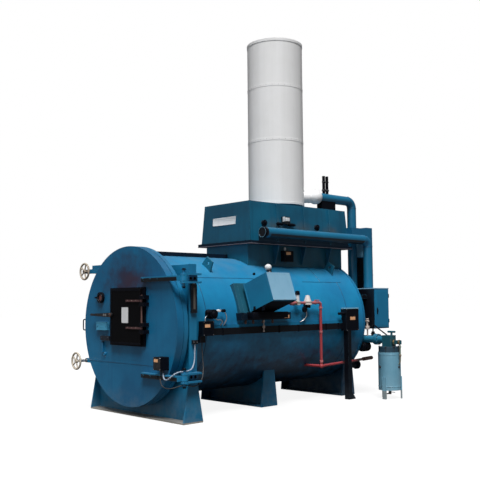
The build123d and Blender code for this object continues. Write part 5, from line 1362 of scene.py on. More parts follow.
@dataclass
class Hood:
    """Afterburner chamber: neck, dark lip, sloping hood and what sits on its side."""

    bench: Bench
    lip_x: float = 0.576
    lip_front: float = -0.269
    lip_rear: float = 2.034

    def build(self) -> None:
        """Adds the hood's bolts, ports, boxes and bare nameplate, and paints it."""
        dress(HOOD_ENAMEL, "hood_casing", "hood_roof", "chamber_ribs")
        dress(LID_PAINT, "chamber_flange")
        dress(CHAMBER_PAINT, "chamber_fittings")
        self.lip()
        self.nameplate()
        self.side_fittings()
        self.neck_box()

    def lip(self) -> None:
        """Bolts the lip and lays a pale strip along its edge as a painted highlight."""
        bench = self.bench
        spots = [(side * 0.555, self.lip_front + 0.040 + k * 0.154, 2.361) for side in (1, -1)
                 for k in range(15)]
        spots += [(-0.462 + k * 0.154, y, 2.361) for y in (self.lip_front + 0.013, 2.020) for k in range(7)]
        bench.fit("lip_bolts", LID_PAINT, Slot.BLACK, bench.bolts(0.0075, Facing.UP, spots))
        # A pale strip along the lip's lower edges, as a painted highlight.
        bead = [bench.slab((self.lip_x - 0.001, self.lip_front, 2.3135),
                           (self.lip_x + 0.004, self.lip_rear, 2.3235)),
                bench.slab((-self.lip_x, self.lip_front - 0.004, 2.3135),
                           (self.lip_x, self.lip_front + 0.001,
                                                                          2.3235))]
        bench.fit("lip_highlight_strip", LIP_HIGHLIGHT_PAINT, Slot.BLACK, bench.chamfer(bench.join(bead), 0.0015, 1))

    def nameplate(self) -> None:
        """Rivets the bare plate to the hood's front face."""
        bench = self.bench
        slope = Vector((0.0, 0.036, 0.568)).normalized()
        out = Vector((0.0, -slope.z, slope.y))
        centre = Vector((-0.030, -0.238, 2.361)) + slope * 0.318
        place = Matrix((Facing.RIGHT.vector, slope, out)).transposed().to_4x4()
        plate = bench.slab((-0.250, -0.058, 0.0), (0.250, 0.058, 0.005))
        with bench.editing(plate, lambda face: face.normal.z > 0.9):
            bpy.ops.mesh.inset(thickness=0.006, depth=0.0)
            bpy.ops.mesh.inset(thickness=0.001, depth=-0.001)
        bench.chamfer(plate, 0.001, 1)
        plate.matrix_world = Matrix.Translation(centre) @ place
        bench.fit("hood_nameplate", WHITE_PAINT, Slot.PALE_BLUE, bench.settle(plate))
        spots = [Matrix.Translation(centre + out * 0.005 + Facing.RIGHT.vector * x + slope * z) @ place
                 for x in (-0.242, 0.242) for z in (-0.050, 0.050)]
        bench.fit("nameplate_rivets", BOLT_STEEL, Slot.STEEL, bench.spread(bench.rivet(0.0045), spots))

    def side_fittings(self) -> None:
        """Closes the hood's two ports with plugs and adds the flame sensor's cap and bodies."""
        bench = self.bench
        plugs = []
        for y in (0.060, 1.222):
            plugs.append(bench.rod((0.542, y, 2.630), (0.556, y, 2.630), 0.044, 0.003))
            plugs.append(bench.rod((0.556, y, 2.630), (0.574, y, 2.630), 0.022, 0.003, 0.020, 6))
        bench.fit("hood_port_plugs", BLACK_PAINT, Slot.BLACK, *plugs)
        cap = bench.block((0.545, 0.440, 2.668), (0.588, 0.556, 2.742), 0.008, 3,
                          (Facing.RIGHT, 0.010, 0.003))
        bench.fit("sensor_cap", WHITE_PAINT, Slot.PALE_BLUE, cap)
        bodies = []
        for y, reach in ((0.372, 0.046), (0.622, 0.060)):
            bodies.append(bench.rod((0.548, y - reach, 2.632), (0.548, y + reach, 2.632), 0.024, 0.004))
            bodies.append(bench.rod((0.500, y, 2.632), (0.560, y, 2.632), 0.016, 0.002))
        ends = [towards((0.548, 0.320, 2.632), Facing.FRONT.vector),
                towards((0.548, 0.690, 2.632), Facing.REAR.vector)]
        nuts = bench.spread(bench.bolt(0.019, washer=False), ends)
        bench.fit("sensor_bodies", BLACK_PAINT, Slot.BLACK, *bodies, nuts)

    def neck_box(self) -> None:
        """Lids the neck's junction box and gives it its plate and knob."""
        bench = self.bench
        face = 0.533
        lid = bench.block((face, 0.492, 2.079), (face + 0.005, 0.674, 2.236), 0.0015, 1,
                          (Facing.RIGHT, 0.012, 0.002))
        bench.fit("neck_box_lid", BLACK_PAINT, Slot.BLACK, lid)
        plate = bench.block((face + 0.006, 0.512, 2.178), (face + 0.0095, 0.612, 2.222), 0.001, 1)
        bench.fit("neck_box_plate", ORANGE_PAINT, Slot.BRASS, plate)
        bench.fit("neck_box_knob", WHITE_PAINT, Slot.PALE_BLUE,
                  bench.rod((0.505, 0.520, 2.240), (0.505, 0.520, 2.258), 0.013, 0.002),
                  bench.rod((0.505, 0.520, 2.258), (0.505, 0.520, 2.292), 0.021, 0.006, 0.014, steps=3))


CHAMBER_PAINT = PaintFinish("black fittings of the chamber", BLACK, DEEP_BLACK, chip_and_highlight=(0.18, 0.18, 0.18),
                            dust_tint=(0.08, 0.08, 0.09), gloss=0.4)
# Pale strip colour: a painted highlight along the lip's lower edge.
LIP_HIGHLIGHT_PAINT = PaintFinish("pale painted highlight on the lip edge", (0.17, 0.15, 0.18), (0.09, 0.085, 0.105), gloss=0.5,
                         mottle=0.9)


@dataclass
class Stack:
    """Clad flue stack with its joint bands and side branch."""

    bench: Bench
    radius: float = 0.439
    centre_y: float = 0.871
    joints: tuple[float, ...] = (3.965, 4.815)

    def build(self) -> None:
        """Bands and rivets the cladding, and paints the stack."""
        dress(CLADDING, "stack_cladding", "stack_branch")
        dress(FLUE_STEEL, "flue_liner")
        dress(BLACK_PAINT, "flue_actuators")
        bench = self.bench
        bands = []
        spots = []
        for level in self.joints:
            ring = bench.band((0, self.centre_y, level), (0, self.centre_y, level + 0.045), self.radius
                              + 0.0028,
                              0.0035)
            bands.append(bench.chamfer(ring, 0.001, 1))
            for turn in around(28):
                out = Vector((cos(turn), sin(turn), 0.0))
                middle = Vector((0, self.centre_y, level + 0.0225))
                spots.append(towards(middle + out * (self.radius + 0.0025), out))
        foot = bench.band((0, self.centre_y, 2.979), (0, self.centre_y, 3.015), self.radius + 0.005, 0.006)
        bench.fit("cladding_bands", CLADDING, Slot.CLADDING, *bands, bench.chamfer(foot, 0.0015, 1))
        bench.fit("cladding_rivets", BOLT_STEEL, Slot.CLADDING, bench.spread(bench.rivet(0.0045), spots))
        self.laps()
        middle = Vector((0.0, self.centre_y, 3.135))
        out = (Vector((0.400, 1.350, 3.135)) - middle).normalized()
        rings = [bench.chamfer(bench.band(middle + out * gap, middle + out * gap + out * 0.018, 0.0950,
                                          0.005, 48),
                               0.0012, 1) for gap in (0.452, 0.508)]
        bench.fit("branch_bands", CLADDING, Slot.CLADDING, *rings)
        collars = []
        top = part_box("flue_actuators")[1].z
        for y in (1.560, 1.640):
            collars.append(bench.rod((0.400, y, 3.250), (0.400, y, 3.277), 0.034, 0.002, sides=6))
            collars.append(bench.rod((0.400, y, top - 0.100), (0.400, y, top - 0.088), 0.031, 0.002))
        bench.fit("actuator_collars", DARK_STEEL, Slot.BLACK, *collars)

    def laps(self) -> None:
        """Laps the sheet along the stack's rear, staggered from length to length."""
        bench = self.bench
        strips = []
        levels = (3.015, *self.joints, 5.525)
        for index in range(3):
            turn = radians(118 + 24 * index)
            out = Vector((cos(turn), sin(turn), 0.0))
            foot = Vector((0, self.centre_y, levels[index] + (0.045 if index else 0.0)))
            strip = bench.slab((-0.016, -0.001, 0.0), (0.016, 0.0022, levels[index + 1] - foot.z))
            with bench.editing(strip, lambda face: face.normal.y > 0.9):
                bpy.ops.mesh.inset(thickness=0.003, depth=0.0006)
            strip.matrix_world = (Matrix.Translation(foot + out * self.radius)
                                  @ Matrix.Rotation(turn - pi / 2, 4, "Z"))
            strips.append(bench.chamfer(bench.settle(strip), 0.0006, 1))
        bench.fit("cladding_laps", CLADDING, Slot.CLADDING, *strips)


# The pad's pale edge colour is a painted edge highlight.
PAD_PAINT = PaintFinish("burner pad enamel", (0.014, 0.105, 0.16), (0.008, 0.064, 0.1),
                        chip_and_highlight=(0.14, 0.36, 0.46), mottle=0.8, wear_and_highlight=1.0)
BURNER_PAINT = PaintFinish("burner enamel", (0.012, 0.19, 0.345), (0.008, 0.13, 0.25), mottle=0.7)


@dataclass
class Burner:
    """Burner box on the flank, turned up by its mounting angle."""

    bench: Bench
    angle: float = radians(19.6)
    middle_y: float = -0.508
    reach: float = 0.22
    half: float = 0.194
    inner: float = 1.035
    outer: float = 1.498

    def spot(self, radius: float, along: float, rise: float) -> Vector:
        """Place of a point given by radius, Y and tangential rise."""
        out = Vector((cos(self.angle), 0.0, sin(self.angle)))
        up = Vector((-sin(self.angle), 0.0, cos(self.angle)))
        return Vector((0, along, AXIS_Z)) + out * radius + up * rise

    def frame(self) -> Matrix:
        """Turns X outwards along the burner's axis and Z up its end face."""
        return Matrix.Translation((0, 0, AXIS_Z)) @ Matrix.Rotation(-self.angle, 4, "Y")

    def hang(self, piece: Piece) -> Piece:
        """Moves a piece modelled on the level into the burner's turned place."""
        piece.matrix_world = self.frame()
        return self.bench.settle(piece)

    def build(self) -> None:
        """Adds the end cover, flange, latches and ball cap, and paints the burner."""
        dress(BURNER_PAINT, "burner_box")
        dress(PAD_PAINT, "burner_mount")
        dress(LID_PAINT, "burner_trunk")
        self.end_cover()
        self.seam_flange()
        self.pad_wing()
        self.underside_shade()
        self.knobs()
        self.trunk_plate()

    def end_cover(self) -> None:
        """Covers the outer end with a screwed sheet whose pale blue is painted light."""
        bench = self.bench
        y0 = self.middle_y - self.reach
        y1 = self.middle_y + self.reach
        cover = bench.slab((self.outer - 0.001, y0 + 0.003, -self.half + 0.003),
                           (self.outer + 0.006, y1 - 0.003, self.half - 0.003))
        bench.panel(cover, Facing.RIGHT, 0.022, -0.0025)
        bench.fit("burner_end_cover", LIT_PALE_ENAMEL, Slot.PALE_BLUE,
                  bench.chamfer(self.hang(cover), 0.0018, 1))
        screws = [self.frame() @ towards((self.outer + 0.006, y, z), Facing.RIGHT.vector)
                  for y in (y0 + 0.016, self.middle_y, y1 - 0.016)
                  for z in (-self.half + 0.014, self.half - 0.014)]
        bench.fit("burner_cover_screws", BOLT_STEEL, Slot.STEEL,
                  bench.spread(bench.rivet(0.0055), screws))

    def seam_flange(self) -> None:
        """Wraps the box near its inner end with a flange strip and adds two fold lines."""
        bench = self.bench
        y0 = self.middle_y - self.reach
        y1 = self.middle_y + self.reach
        strips = []
        for radius, width, proud in ((self.inner + 0.004, 0.018, 0.006),
                                     (self.outer - 0.03, 0.01, 0.003)):
            for low, high in (((radius, y0 - proud, self.half - 0.002),
                               (radius + width, y1 + proud, self.half + proud)),
                              ((radius, y0 - proud, -self.half - proud),
                               (radius + width, y1 + proud, -self.half + 0.002)),
                              ((radius, y0 - proud, -self.half),
                               (radius + width, y0 + 0.002, self.half)),
                              ((radius, y1 - 0.002, -self.half),
                               (radius + width, y1 + proud, self.half))):
                strips.append(bench.chamfer(self.hang(bench.slab(low, high)), 0.001, 1))
        bench.fit("burner_box_strips", BURNER_PAINT, Slot.BLUE, *strips)

    def pad_wing(self) -> None:
        """Carries the mounting pad on towards the door."""
        bench = self.bench
        wing = bench.slab((0.9, -0.853, -0.183), (0.984, -0.786, 0.235))
        bench.fit("burner_pad_wing", PAD_PAINT, Slot.BLUE, bench.chamfer(self.hang(wing), 0.002, 1))

    def underside_shade(self) -> None:
        """Darkens the box's underside as painted shade: a black sheet under the box and a black block below
        it fill the shaded area.
        """
        bench = self.bench
        y0 = self.middle_y - self.reach
        y1 = self.middle_y + self.reach
        underside_shade = self.hang(bench.slab((self.inner + 0.024, y0 + 0.002, -self.half - 0.005),
                                   (self.outer - 0.032, y1 - 0.002, -self.half)))
        shade_block = bench.slab((1.03, -0.78, 1.262), (1.17, -0.13, 1.345))
        bench.panel(shade_block, Facing.RIGHT, 0.012, 0.003)
        bench.fit("burner_underside_shade", BLACK_PAINT, Slot.BLACK, bench.chamfer(underside_shade, 0.001, 1),
                  bench.chamfer(shade_block, 0.003))

    def knobs(self) -> None:
        """Adds the ball cap, the dark knob and the latches of the box."""
        bench = self.bench
        foot = self.spot(1.44, -0.6, self.half)
        up = Vector((-sin(self.angle), 0.0, cos(self.angle)))
        stem = bench.rod(foot, foot + up * 0.042, 0.032, 0.003, 0.026)
        collar = bench.rod(foot + up * 0.042, foot + up * 0.056, 0.038, 0.003)
        bench.fit("ball_cap_base", DARK_STEEL, Slot.BLACK, stem, collar)
        cap = bench.ball(foot + up * 0.094, 0.047, 0.92)
        with bench.editing(cap, lambda face: face.normal.z > 0.97):
            bpy.ops.mesh.inset(thickness=0.001, depth=0.0)
        bench.fit("ball_cap", WHITE_PAINT, Slot.PALE_BLUE, bench.smooth(cap, 60))
        side = self.middle_y - self.reach
        pieces = []
        for x, z, radius in ((1.133, 1.85, 0.019),):
            pieces.append(bench.rod((x, side, z), (x, side - 0.026, z), radius, 0.004, radius * 0.8))
        for x, z in ((1.13, 1.4), (1.3, 1.395)):
            pieces.append(bench.block((x - 0.016, side - 0.012, z - 0.024),
                                      (x + 0.016, side + 0.002, z + 0.024), 0.003))
            pieces.append(bench.rod((x - 0.022, side - 0.014, z - 0.02),
                                    (x + 0.022, side - 0.014, z - 0.02), 0.006, 0.001))
        bench.fit("burner_box_latches", BLACK_PAINT, Slot.BLACK, *pieces)

    def trunk_plate(self) -> None:
        """Lids the trunk under the burner and sets its plate and glands."""
        bench = self.bench
        face = 1.04
        lid = bench.slab((face, -0.86, 1.246), (face + 0.004, 0.045, 1.33))
        bench.panel(lid, Facing.RIGHT, 0.01, 0.0015)
        bench.fit("trunk_lid", LID_PAINT, Slot.BLACK, bench.chamfer(lid, 0.0012, 1))
        plate = bench.block((face + 0.0045, -0.078, 1.254), (face + 0.0085, 0.02, 1.3), 0.001, 1)
        bench.fit("trunk_plate", ORANGE_PAINT, Slot.BRASS, plate)
        fittings = []
        for y in (-0.76, -0.62, -0.434, -0.25):
            fittings.append(bench.rod((0.985, y, 1.188), (0.985, y, 1.243), 0.013, 0.002))
            fittings.append(bench.rod((0.985, y, 1.205), (0.985, y, 1.224), 0.019, 0.002, sides=6))
        bench.fit("trunk_conduit_fittings", RUSTY_STEEL, Slot.BRASS, *fittings)
        drops = [bench.rod((1.0, -0.435, z - size), (1.0, -0.435, z + size), size, 0.003) for z,
                 size in ((1.222, 0.014), (1.146, 0.017), (1.089, 0.013))]
        drops.append(bench.drum((1.0, -0.435, 1.08), (1.0, -0.435, 1.24), 0.007))
        bench.fit("trunk_drop_fittings", CREAM_PAINT, Slot.BRASS, *drops)


RISER_PAINT = PaintFinish("riser enamel with a shaded front", (0.008, 0.15, 0.29), (0.005, 0.09, 0.19),
                          chip_and_highlight=EDGE_HIGHLIGHT, mottle=0.7, zones=(Zone((0.3, 2.3, 1.0), (0.7, 2.3695, 2.19), BLACK,
        DEEP_BLACK),))
CABINET_PAINT = PaintFinish("cabinet enamel", (0.006, 0.185, 0.36), (0.004, 0.13, 0.27), chip_and_highlight=EDGE_HIGHLIGHT,
                            mottle=0.6, wear_and_highlight=0.9, zones=(Zone((0.25, 1.7, 0.9), (1.2, 1.9925, 1.8),
        BLACK, DEEP_BLACK),))
# Below the manifold's axis the pipe is near black as painted shade; its front end is black as well.
PIPE_PAINT = PaintFinish("air pipe enamel with painted shade underneath", (0.009, 0.165, 0.3), (0.006, 0.12, 0.24), chip_and_highlight=EDGE_HIGHLIGHT,
                         mottle=0.8, zones=(Zone((0.6, -0.05, 2.3), (0.9, 2.1, 2.448),
                                                 (0.002, 0.012, 0.026), (0.001, 0.006, 0.014)),
                                            Zone((0.6, -0.2, 2.3), (0.9, -0.1, 2.6), BLACK, DEEP_BLACK)))


@dataclass
class AirSide:
    """Fan cabinet, riser duct, manifold and upper air pipe."""

    bench: Bench
    cabinet_low: Point = (0.3, 1.988, 1.04)
    cabinet_high: Point = (1.033, 2.368, 1.675)

    def build(self) -> None:
        """Adds doors, flanges and bands, and paints the air side."""
        dress(CABINET_PAINT, "fan_cabinet")
        dress(RISER_PAINT, "air_riser")
        dress(PIPE_PAINT, "air_pipes")
        dress(BLACK_PAINT, "pipe_cradle")
        self.cabinet()
        self.riser()
        self.pipe_rings()

    def cabinet(self) -> None:
        """Hangs a door on the cabinet's side and one on its front."""
        bench = self.bench
        x0, y0, z0 = self.cabinet_low
        x1, y1, z1 = self.cabinet_high
        side = bench.slab((x1, y0 + 0.018, z0 + 0.022), (x1 + 0.01, y1 - 0.018, z1 - 0.022))
        bench.panel(side, Facing.RIGHT, 0.02, 0.003)
        rear = bench.slab((x0 + 0.022, y1, z0 + 0.022), (x1 - 0.022, y1 + 0.01, z1 - 0.022))
        bench.panel(rear, Facing.REAR, 0.02, 0.003)
        doors = bench.join([bench.chamfer(side, 0.002, 1), bench.chamfer(rear, 0.002, 1)])
        bench.fit("cabinet_doors", CABINET_PAINT, Slot.BLUE, doors)
        # The cap round the cabinet's top is pale blue as painted light on its lit top edge.
        edge = bench.slab((x0 - 0.004, y0 - 0.004, z1 - 0.01), (x1 + 0.004, y1 + 0.004, z1 + 0.006))
        bench.panel(edge, Facing.UP, 0.012, -0.003)
        bench.fit("cabinet_cap", LIT_PALE_ENAMEL, Slot.BLUE, bench.chamfer(edge, 0.0015, 1))
        fittings = []
        for z in (z0 + 0.12, z1 - 0.12):
            fittings.append(bench.rod((x1 + 0.012, y1 - 0.014, z - 0.03),
                                      (x1 + 0.012, y1 - 0.014, z + 0.03), 0.008, 0.002))
        plate = bench.slab((x1 + 0.012, y0 + 0.046, 1.27), (x1 + 0.018, y0 + 0.076, 1.37))
        turn = bench.slab((x1 + 0.018, y0 + 0.054, 1.3), (x1 + 0.032, y0 + 0.068, 1.345))
        fittings += [bench.chamfer(plate, 0.002), bench.chamfer(turn, 0.003)]
        bench.fit("cabinet_handle", LID_PAINT, Slot.BLACK, *fittings)

    def riser(self) -> None:
        """Sets the pale plate and the flanges on the riser duct."""
        bench = self.bench
        plate = bench.slab((0.411, 2.362, 2.207), (0.544, 2.368, 2.422))
        bench.panel(plate, Facing.FRONT, 0.01, 0.0015)
        bench.fit("riser_plate", PALE_PAINT, Slot.PALE_BLUE, bench.chamfer(plate, 0.0015, 1))
        low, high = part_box("air_riser")
        rings = []
        for z in (1.9, 2.38):
            collar = bench.slab((low.x - 0.006, 2.364, z), (high.x + 0.006, high.y, z + 0.014))
            rings.append(bench.chamfer(collar, 0.0015, 1))
        bench.fit("riser_flanges", RISER_PAINT, Slot.BLUE, *rings)

    def pipe_rings(self) -> None:
        """Lays weld rings at the pipes' elbows and closes the manifold's dark end."""
        bench = self.bench
        rings = []
        for centre, direction in (((0.4, 1.42, 3.135), Facing.REAR), ((0.4, 2.15, 3.135), Facing.REAR),
                                  ((0.4, 2.262, 3.02), Facing.UP), ((0.72, 2.15, 2.47), Facing.REAR),
                                  ((0.72, 2.262, 2.355), Facing.UP), ((0.72, 2.262, 1.69), Facing.UP)):
            rings.append(bench.smooth(bench.hoop(centre, direction.vector, 0.0755, 0.0035, 48), 60))
        bench.fit("air_pipe_welds", SEAM_ENAMEL, Slot.BLUE, *rings)
        cap = bench.drum((0.72, -0.13, 2.47), (0.72, -0.168, 2.47), 0.079, 0.077, 48)
        bench.panel(cap, Facing.FRONT, 0.012, -0.012)
        bench.fit("manifold_end_cap", BLACK_PAINT, Slot.BLACK, bench.chamfer(cap, 0.003))
        ring = bench.hoop((0.72, -0.167, 2.47), Facing.REAR.vector, 0.0715, 0.0022, 48)
        bench.fit("manifold_end_ring", PALE_PAINT, Slot.PALE_BLUE, bench.smooth(ring, 60))


VALVE_PAINT = PaintFinish("valve paint, white coil and pink regulator", WHITE, DEEP_WHITE,
                          chip_and_highlight=(0.2, 0.14, 0.12), gloss=0.4,
                          zones=(Zone((0.8, 0.35, 1.3), (1.2, 0.6, 1.7), (0.74, 0.69, 0.67),
                                      (0.58, 0.5, 0.48)),))


@dataclass
class FuelLine:
    """Red fuel pipe on the flank with its coil valve, regulator and hand valves."""

    bench: Bench
    pipe_x: float = 1.0
    radius: float = 0.02

    def build(self) -> None:
        """Adds unions, valves and a gauge, and paints the line."""
        dress(RED_PAINT, "fuel_pipe")
        dress(VALVE_PAINT, "fuel_valves")
        self.unions()
        self.coil()
        self.regulator()
        self.gauge()

    def unions(self) -> None:
        """Threads hexagon unions and round sockets on the pipe."""
        bench = self.bench
        x = self.pipe_x
        red = []
        for foot, top, radius, sides in (((x, 0.6, 1.46), (x, 0.636, 1.46), 0.027, 8),
                                         ((x, 0.16, 1.46), (x, 0.19, 1.46), 0.026, 8),
                                         ((x, 0.74, 1.4), (x, 0.74, 1.37), 0.027, 24),
                                         ((x, 0.74, 0.62), (x, 0.74, 0.59), 0.027, 24),
                                         ((1.08, -0.29, 1.46), (1.08, -0.256, 1.46), 0.028, 8),
                                         ((1.08, 0.02, 1.46), (1.08, 0.072, 1.46), 0.034, 16),
                                         ((x, 0.74, 1.05), (x, 0.74, 1.018), 0.027, 8)):
            red.append(bench.rod(foot, top, radius, 0.003, sides=sides))
        bench.fit("fuel_unions", PINK_PAINT, Slot.RED, *red)

    def coil(self) -> None:
        """Caps the coil valve and gives it its nut."""
        bench = self.bench
        cap = bench.drum((self.pipe_x, 0.246, 1.576), (self.pipe_x, 0.246, 1.628), 0.036, 0.031)
        bench.panel(cap, Facing.UP, 0.006, 0.004)
        bench.fit("coil_valve_cap", BLACK_PAINT, Slot.BLACK, bench.chamfer(cap, 0.003))
        foot = bench.drum((self.pipe_x, 0.212, 1.46), (self.pipe_x, 0.282, 1.46), 0.032, sides=8)
        bench.fit("coil_valve_body", BRASS, Slot.BRASS, bench.chamfer(foot, 0.003))

    def regulator(self) -> None:
        """Bolts the regulator's diaphragm case."""
        bench = self.bench
        centre = Vector((self.pipe_x, 0.459, 1.46))
        rim = bench.rod(centre + Vector((0, 0, 0.006)), centre + Vector((0, 0, 0.022)), 0.066, 0.003,
                        sides=48)
        bench.fit("regulator_rim", CREAM_PAINT, Slot.BRASS, rim)
        spots = [towards(centre + Vector((0.056 * cos(t), 0.056 * sin(t), 0.022)), Facing.UP.vector)
                 for t in (2 * pi * k / 8 for k in range(8))]
        bench.fit("regulator_screws", BOLT_STEEL, Slot.STEEL,
                  bench.spread(bench.bolt(0.0055, washer=False), spots))

    def gauge(self) -> None:
        """Hangs the small black gauge and the silver conduit under the pipe."""
        bench = self.bench
        x = self.pipe_x
        stem = bench.rod((x, 0.385, 1.376), (x, 0.385, 1.446), 0.01, 0.001)
        case = bench.drum((x - 0.012, 0.385, 1.362), (x + 0.026, 0.385, 1.362), 0.038, sides=40)
        bench.panel(case, Facing.RIGHT, 0.004, -0.004)
        under = bench.block((x - 0.024, 0.425, 1.386), (x + 0.024, 0.5, 1.444), 0.006)
        bench.fit("fuel_gauge", BLACK_PAINT, Slot.BLACK, stem, under, bench.chamfer(case, 0.002))
        run = bench.hose(((x, 0.415, 1.35), (x, 0.44, 1.32), (x - 0.004, 0.43, 1.26), (0.98, 0.38, 1.2),
                          (0.958, 0.33, 1.19)), 0.007)
        bench.fit("gauge_conduit", ROD_STEEL, Slot.STEEL, run)
        lever = bench.block((x + 0.018, 0.604, 1.488), (x + 0.026, 0.69, 1.502), 0.003)
        hub = bench.rod((x, 0.62, 1.476), (x, 0.62, 1.5), 0.012, 0.002)
        arm = bench.block((x - 0.008, 0.61, 1.496), (x + 0.026, 0.63, 1.503), 0.002)
        bench.fit("fuel_hand_lever", PINK_PAINT, Slot.RED, lever, hub, arm)


PINK_PAINT = PaintFinish("faded red fitting paint", (0.52, 0.16, 0.17), (0.36, 0.1, 0.11), gloss=0.42,
                         chip_and_highlight=(0.2, 0.14, 0.12))
VESSEL_PAINT = PaintFinish("filter vessel paint", (0.22, 0.45, 0.58), (0.1, 0.28, 0.4), gloss=0.34,
                           mottle=0.7, zones=(Zone((1.1, 1.6, 0.7), (1.6, 2.2, 0.79),
                                                   (0.03, 0.075, 0.11), (0.015, 0.04, 0.065)),
                                              Zone((1.1, 1.6, 0.0), (1.6, 2.2, 0.125), (0.3, 0.36, 0.38),
                                                   (0.18, 0.2, 0.21))))
HEAD_PAINT = PaintFinish("teal filter head paint", (0.016, 0.11, 0.15), (0.01, 0.06, 0.085), gloss=0.36)
WATER_PAINT = PaintFinish("water pipe enamel", (0.02, 0.215, 0.35), (0.012, 0.135, 0.24), mottle=0.7)


@dataclass
class WaterSide:
    """Water pipe with its motor valve, and the filter vessel at its end."""

    bench: Bench
    vessel: Point = (1.37, 1.888, 0.0)

    def build(self) -> None:
        """Adds flanges, lugs, taps and fins, and paints the water side."""
        dress(WATER_PAINT, "water_pipe")
        dress(BLACK_PAINT, "water_motor")
        dress(VESSEL_PAINT, "filter_vessel")
        dress(HEAD_PAINT, "vessel_head")
        self.flange()
        self.motor()
        self.valves()
        self.lid()
        self.head()
        self.tap()

    def flange(self) -> None:
        """Bolts the pipe's flange pair."""
        bench = self.bench
        spots = []
        for step in range(8):
            turn = 2 * pi * step / 8 + pi / 8
            y = 1.958 + 0.072 * cos(turn)
            z = 0.88 + 0.072 * sin(turn)
            spots.append(towards((1.135, y, z), Facing.RIGHT.vector))
            spots.append(towards((1.065, y, z), Facing.LEFT.vector))
        bench.fit("water_flange_bolts", BOLT_STEEL, Slot.STEEL,
                  bench.spread(bench.bolt(0.0085, washer=False), spots))
        gasket = bench.chamfer(bench.band((1.0985, 1.958, 0.88), (1.1015, 1.958, 0.88), 0.0856, 0.01,
                                          48), 0.0006, 1)
        bench.fit("water_flange_gasket", GRIP, Slot.BLACK, gasket)

    def motor(self) -> None:
        """Fins the valve motor and caps it."""
        bench = self.bench
        fins = []
        for step in range(7):
            y = 1.902 + step * 0.018
            fins.append(bench.chamfer(bench.band((0.845, y, 0.759), (0.845, y + 0.006, 0.759), 0.079,
                                                 0.008, 40), 0.001, 1))
        cap = bench.drum((0.845, 1.88, 0.759), (0.845, 1.872, 0.759), 0.06, 0.052, 40)
        bench.panel(cap, Facing.FRONT, 0.01, -0.003)
        box = bench.block((0.905, 1.915, 0.73), (0.945, 2.0, 0.8), 0.004)
        bench.fit("motor_fins", BLACK_PAINT, Slot.BLACK, *fins, bench.chamfer(cap, 0.002), box)

    def valves(self) -> None:
        """Stands the pale hand valves and the dark drain conduit over the pipe."""
        bench = self.bench
        cream = []
        for x, top in ((0.826, 1.19), (0.936, 1.235)):
            cream.append(bench.rod((x, 1.93, 0.925), (x, 1.93, top - 0.05), 0.013, 0.002))
            cream.append(bench.rod((x, 1.93, 1.03), (x, 1.93, 1.085), 0.036, 0.004, sides=8))
            cream.append(bench.rod((x - 0.026, 1.93, top - 0.075), (x + 0.026, 1.93, top - 0.075), 0.019,
                                   0.003))
            cream.append(bench.rod((x, 1.93, top - 0.05), (x, 1.93, top - 0.034), 0.026, 0.003))
        bench.fit("pale_hand_valves", CREAM_PAINT, Slot.BRASS, *cream)
        dark = [bench.rod((1.022, 1.958, 0.93), (1.022, 1.958, 1.0), 0.03, 0.004, 0.026),
                bench.rod((1.022, 1.958, 0.96), (1.022, 1.958, 0.975), 0.038, 0.003, sides=6)]
        run = bench.hose(((1.022, 1.958, 0.995), (1.02, 1.958, 1.06), (1.05, 1.95, 1.105),
                          (1.12, 1.935, 1.06), (1.26, 1.905, 0.99), (1.33, 1.892, 0.955),
                          (1.345, 1.888, 0.94)), 0.0105)
        bench.fit("dark_bypass_hose", BLACK_PAINT, Slot.BLACK, *dark, run)

    def lid(self) -> None:
        """Clamps the vessel's lid with swing bolts."""
        bench = self.bench
        spots = []
        pieces = []
        for step in range(8):
            turn = 2 * pi * step / 8 + 0.3
            out = Vector((cos(turn), sin(turn), 0.0))
            foot = Vector(self.vessel) + out * 0.156
            pieces.append(bench.rod(foot + Vector((0, 0, 0.69)), foot + Vector((0, 0, 0.792)), 0.0065,
                                    0.001, sides=12, steps=1))
            spots.append(towards(foot + Vector((0, 0, 0.778)), Facing.UP.vector, turn))
        nuts = bench.spread(bench.bolt(0.012), spots)
        bench.fit("vessel_lid_bolts", DARK_STEEL, Slot.BLACK, *pieces, nuts)
        rings = [bench.chamfer(bench.band((1.37, 1.888, z), (1.37, 1.888, z + 0.014), 0.173, 0.006, 64),
                               0.002, 1) for z in (0.18, 0.66)]
        lugs = [bench.rod((x, y, 0.48), (x + 0.018, y - 0.022, 0.48), 0.024, 0.004, 0.018) for x,
                y in ((1.309, 1.742), (1.524, 1.9))]
        bench.fit("vessel_lugs", DARK_STEEL, Slot.BLACK, *lugs)
        bench.fit("vessel_rings", VESSEL_PAINT, Slot.PALE_BLUE, *rings)

    def head(self) -> None:
        """Adds unions to the head's side arm and the copper run at its end."""
        bench = self.bench
        nuts = [bench.rod((1.452, 1.888, 0.85), (1.48, 1.888, 0.85), 0.04, 0.003, sides=8),
                bench.rod((1.545, 1.888, 0.85), (1.575, 1.888, 0.85), 0.038, 0.003, sides=8)]
        bench.fit("head_unions", BRASS, Slot.BRASS, *nuts)
        run = bench.hose(((1.56, 1.888, 0.85), (1.572, 1.888, 0.8), (1.572, 1.888, 0.72),
                          (1.572, 1.888, 0.6), (1.566, 1.888, 0.54), (1.535, 1.888, 0.52)), 0.011)
        joints = [bench.rod((1.572, 1.888, z), (1.572, 1.888, z + 0.03), 0.017, 0.002, sides=8)
                  for z in (0.77, 0.64)]
        bench.fit("copper_drop", COPPER, Slot.BRASS, run, *joints)

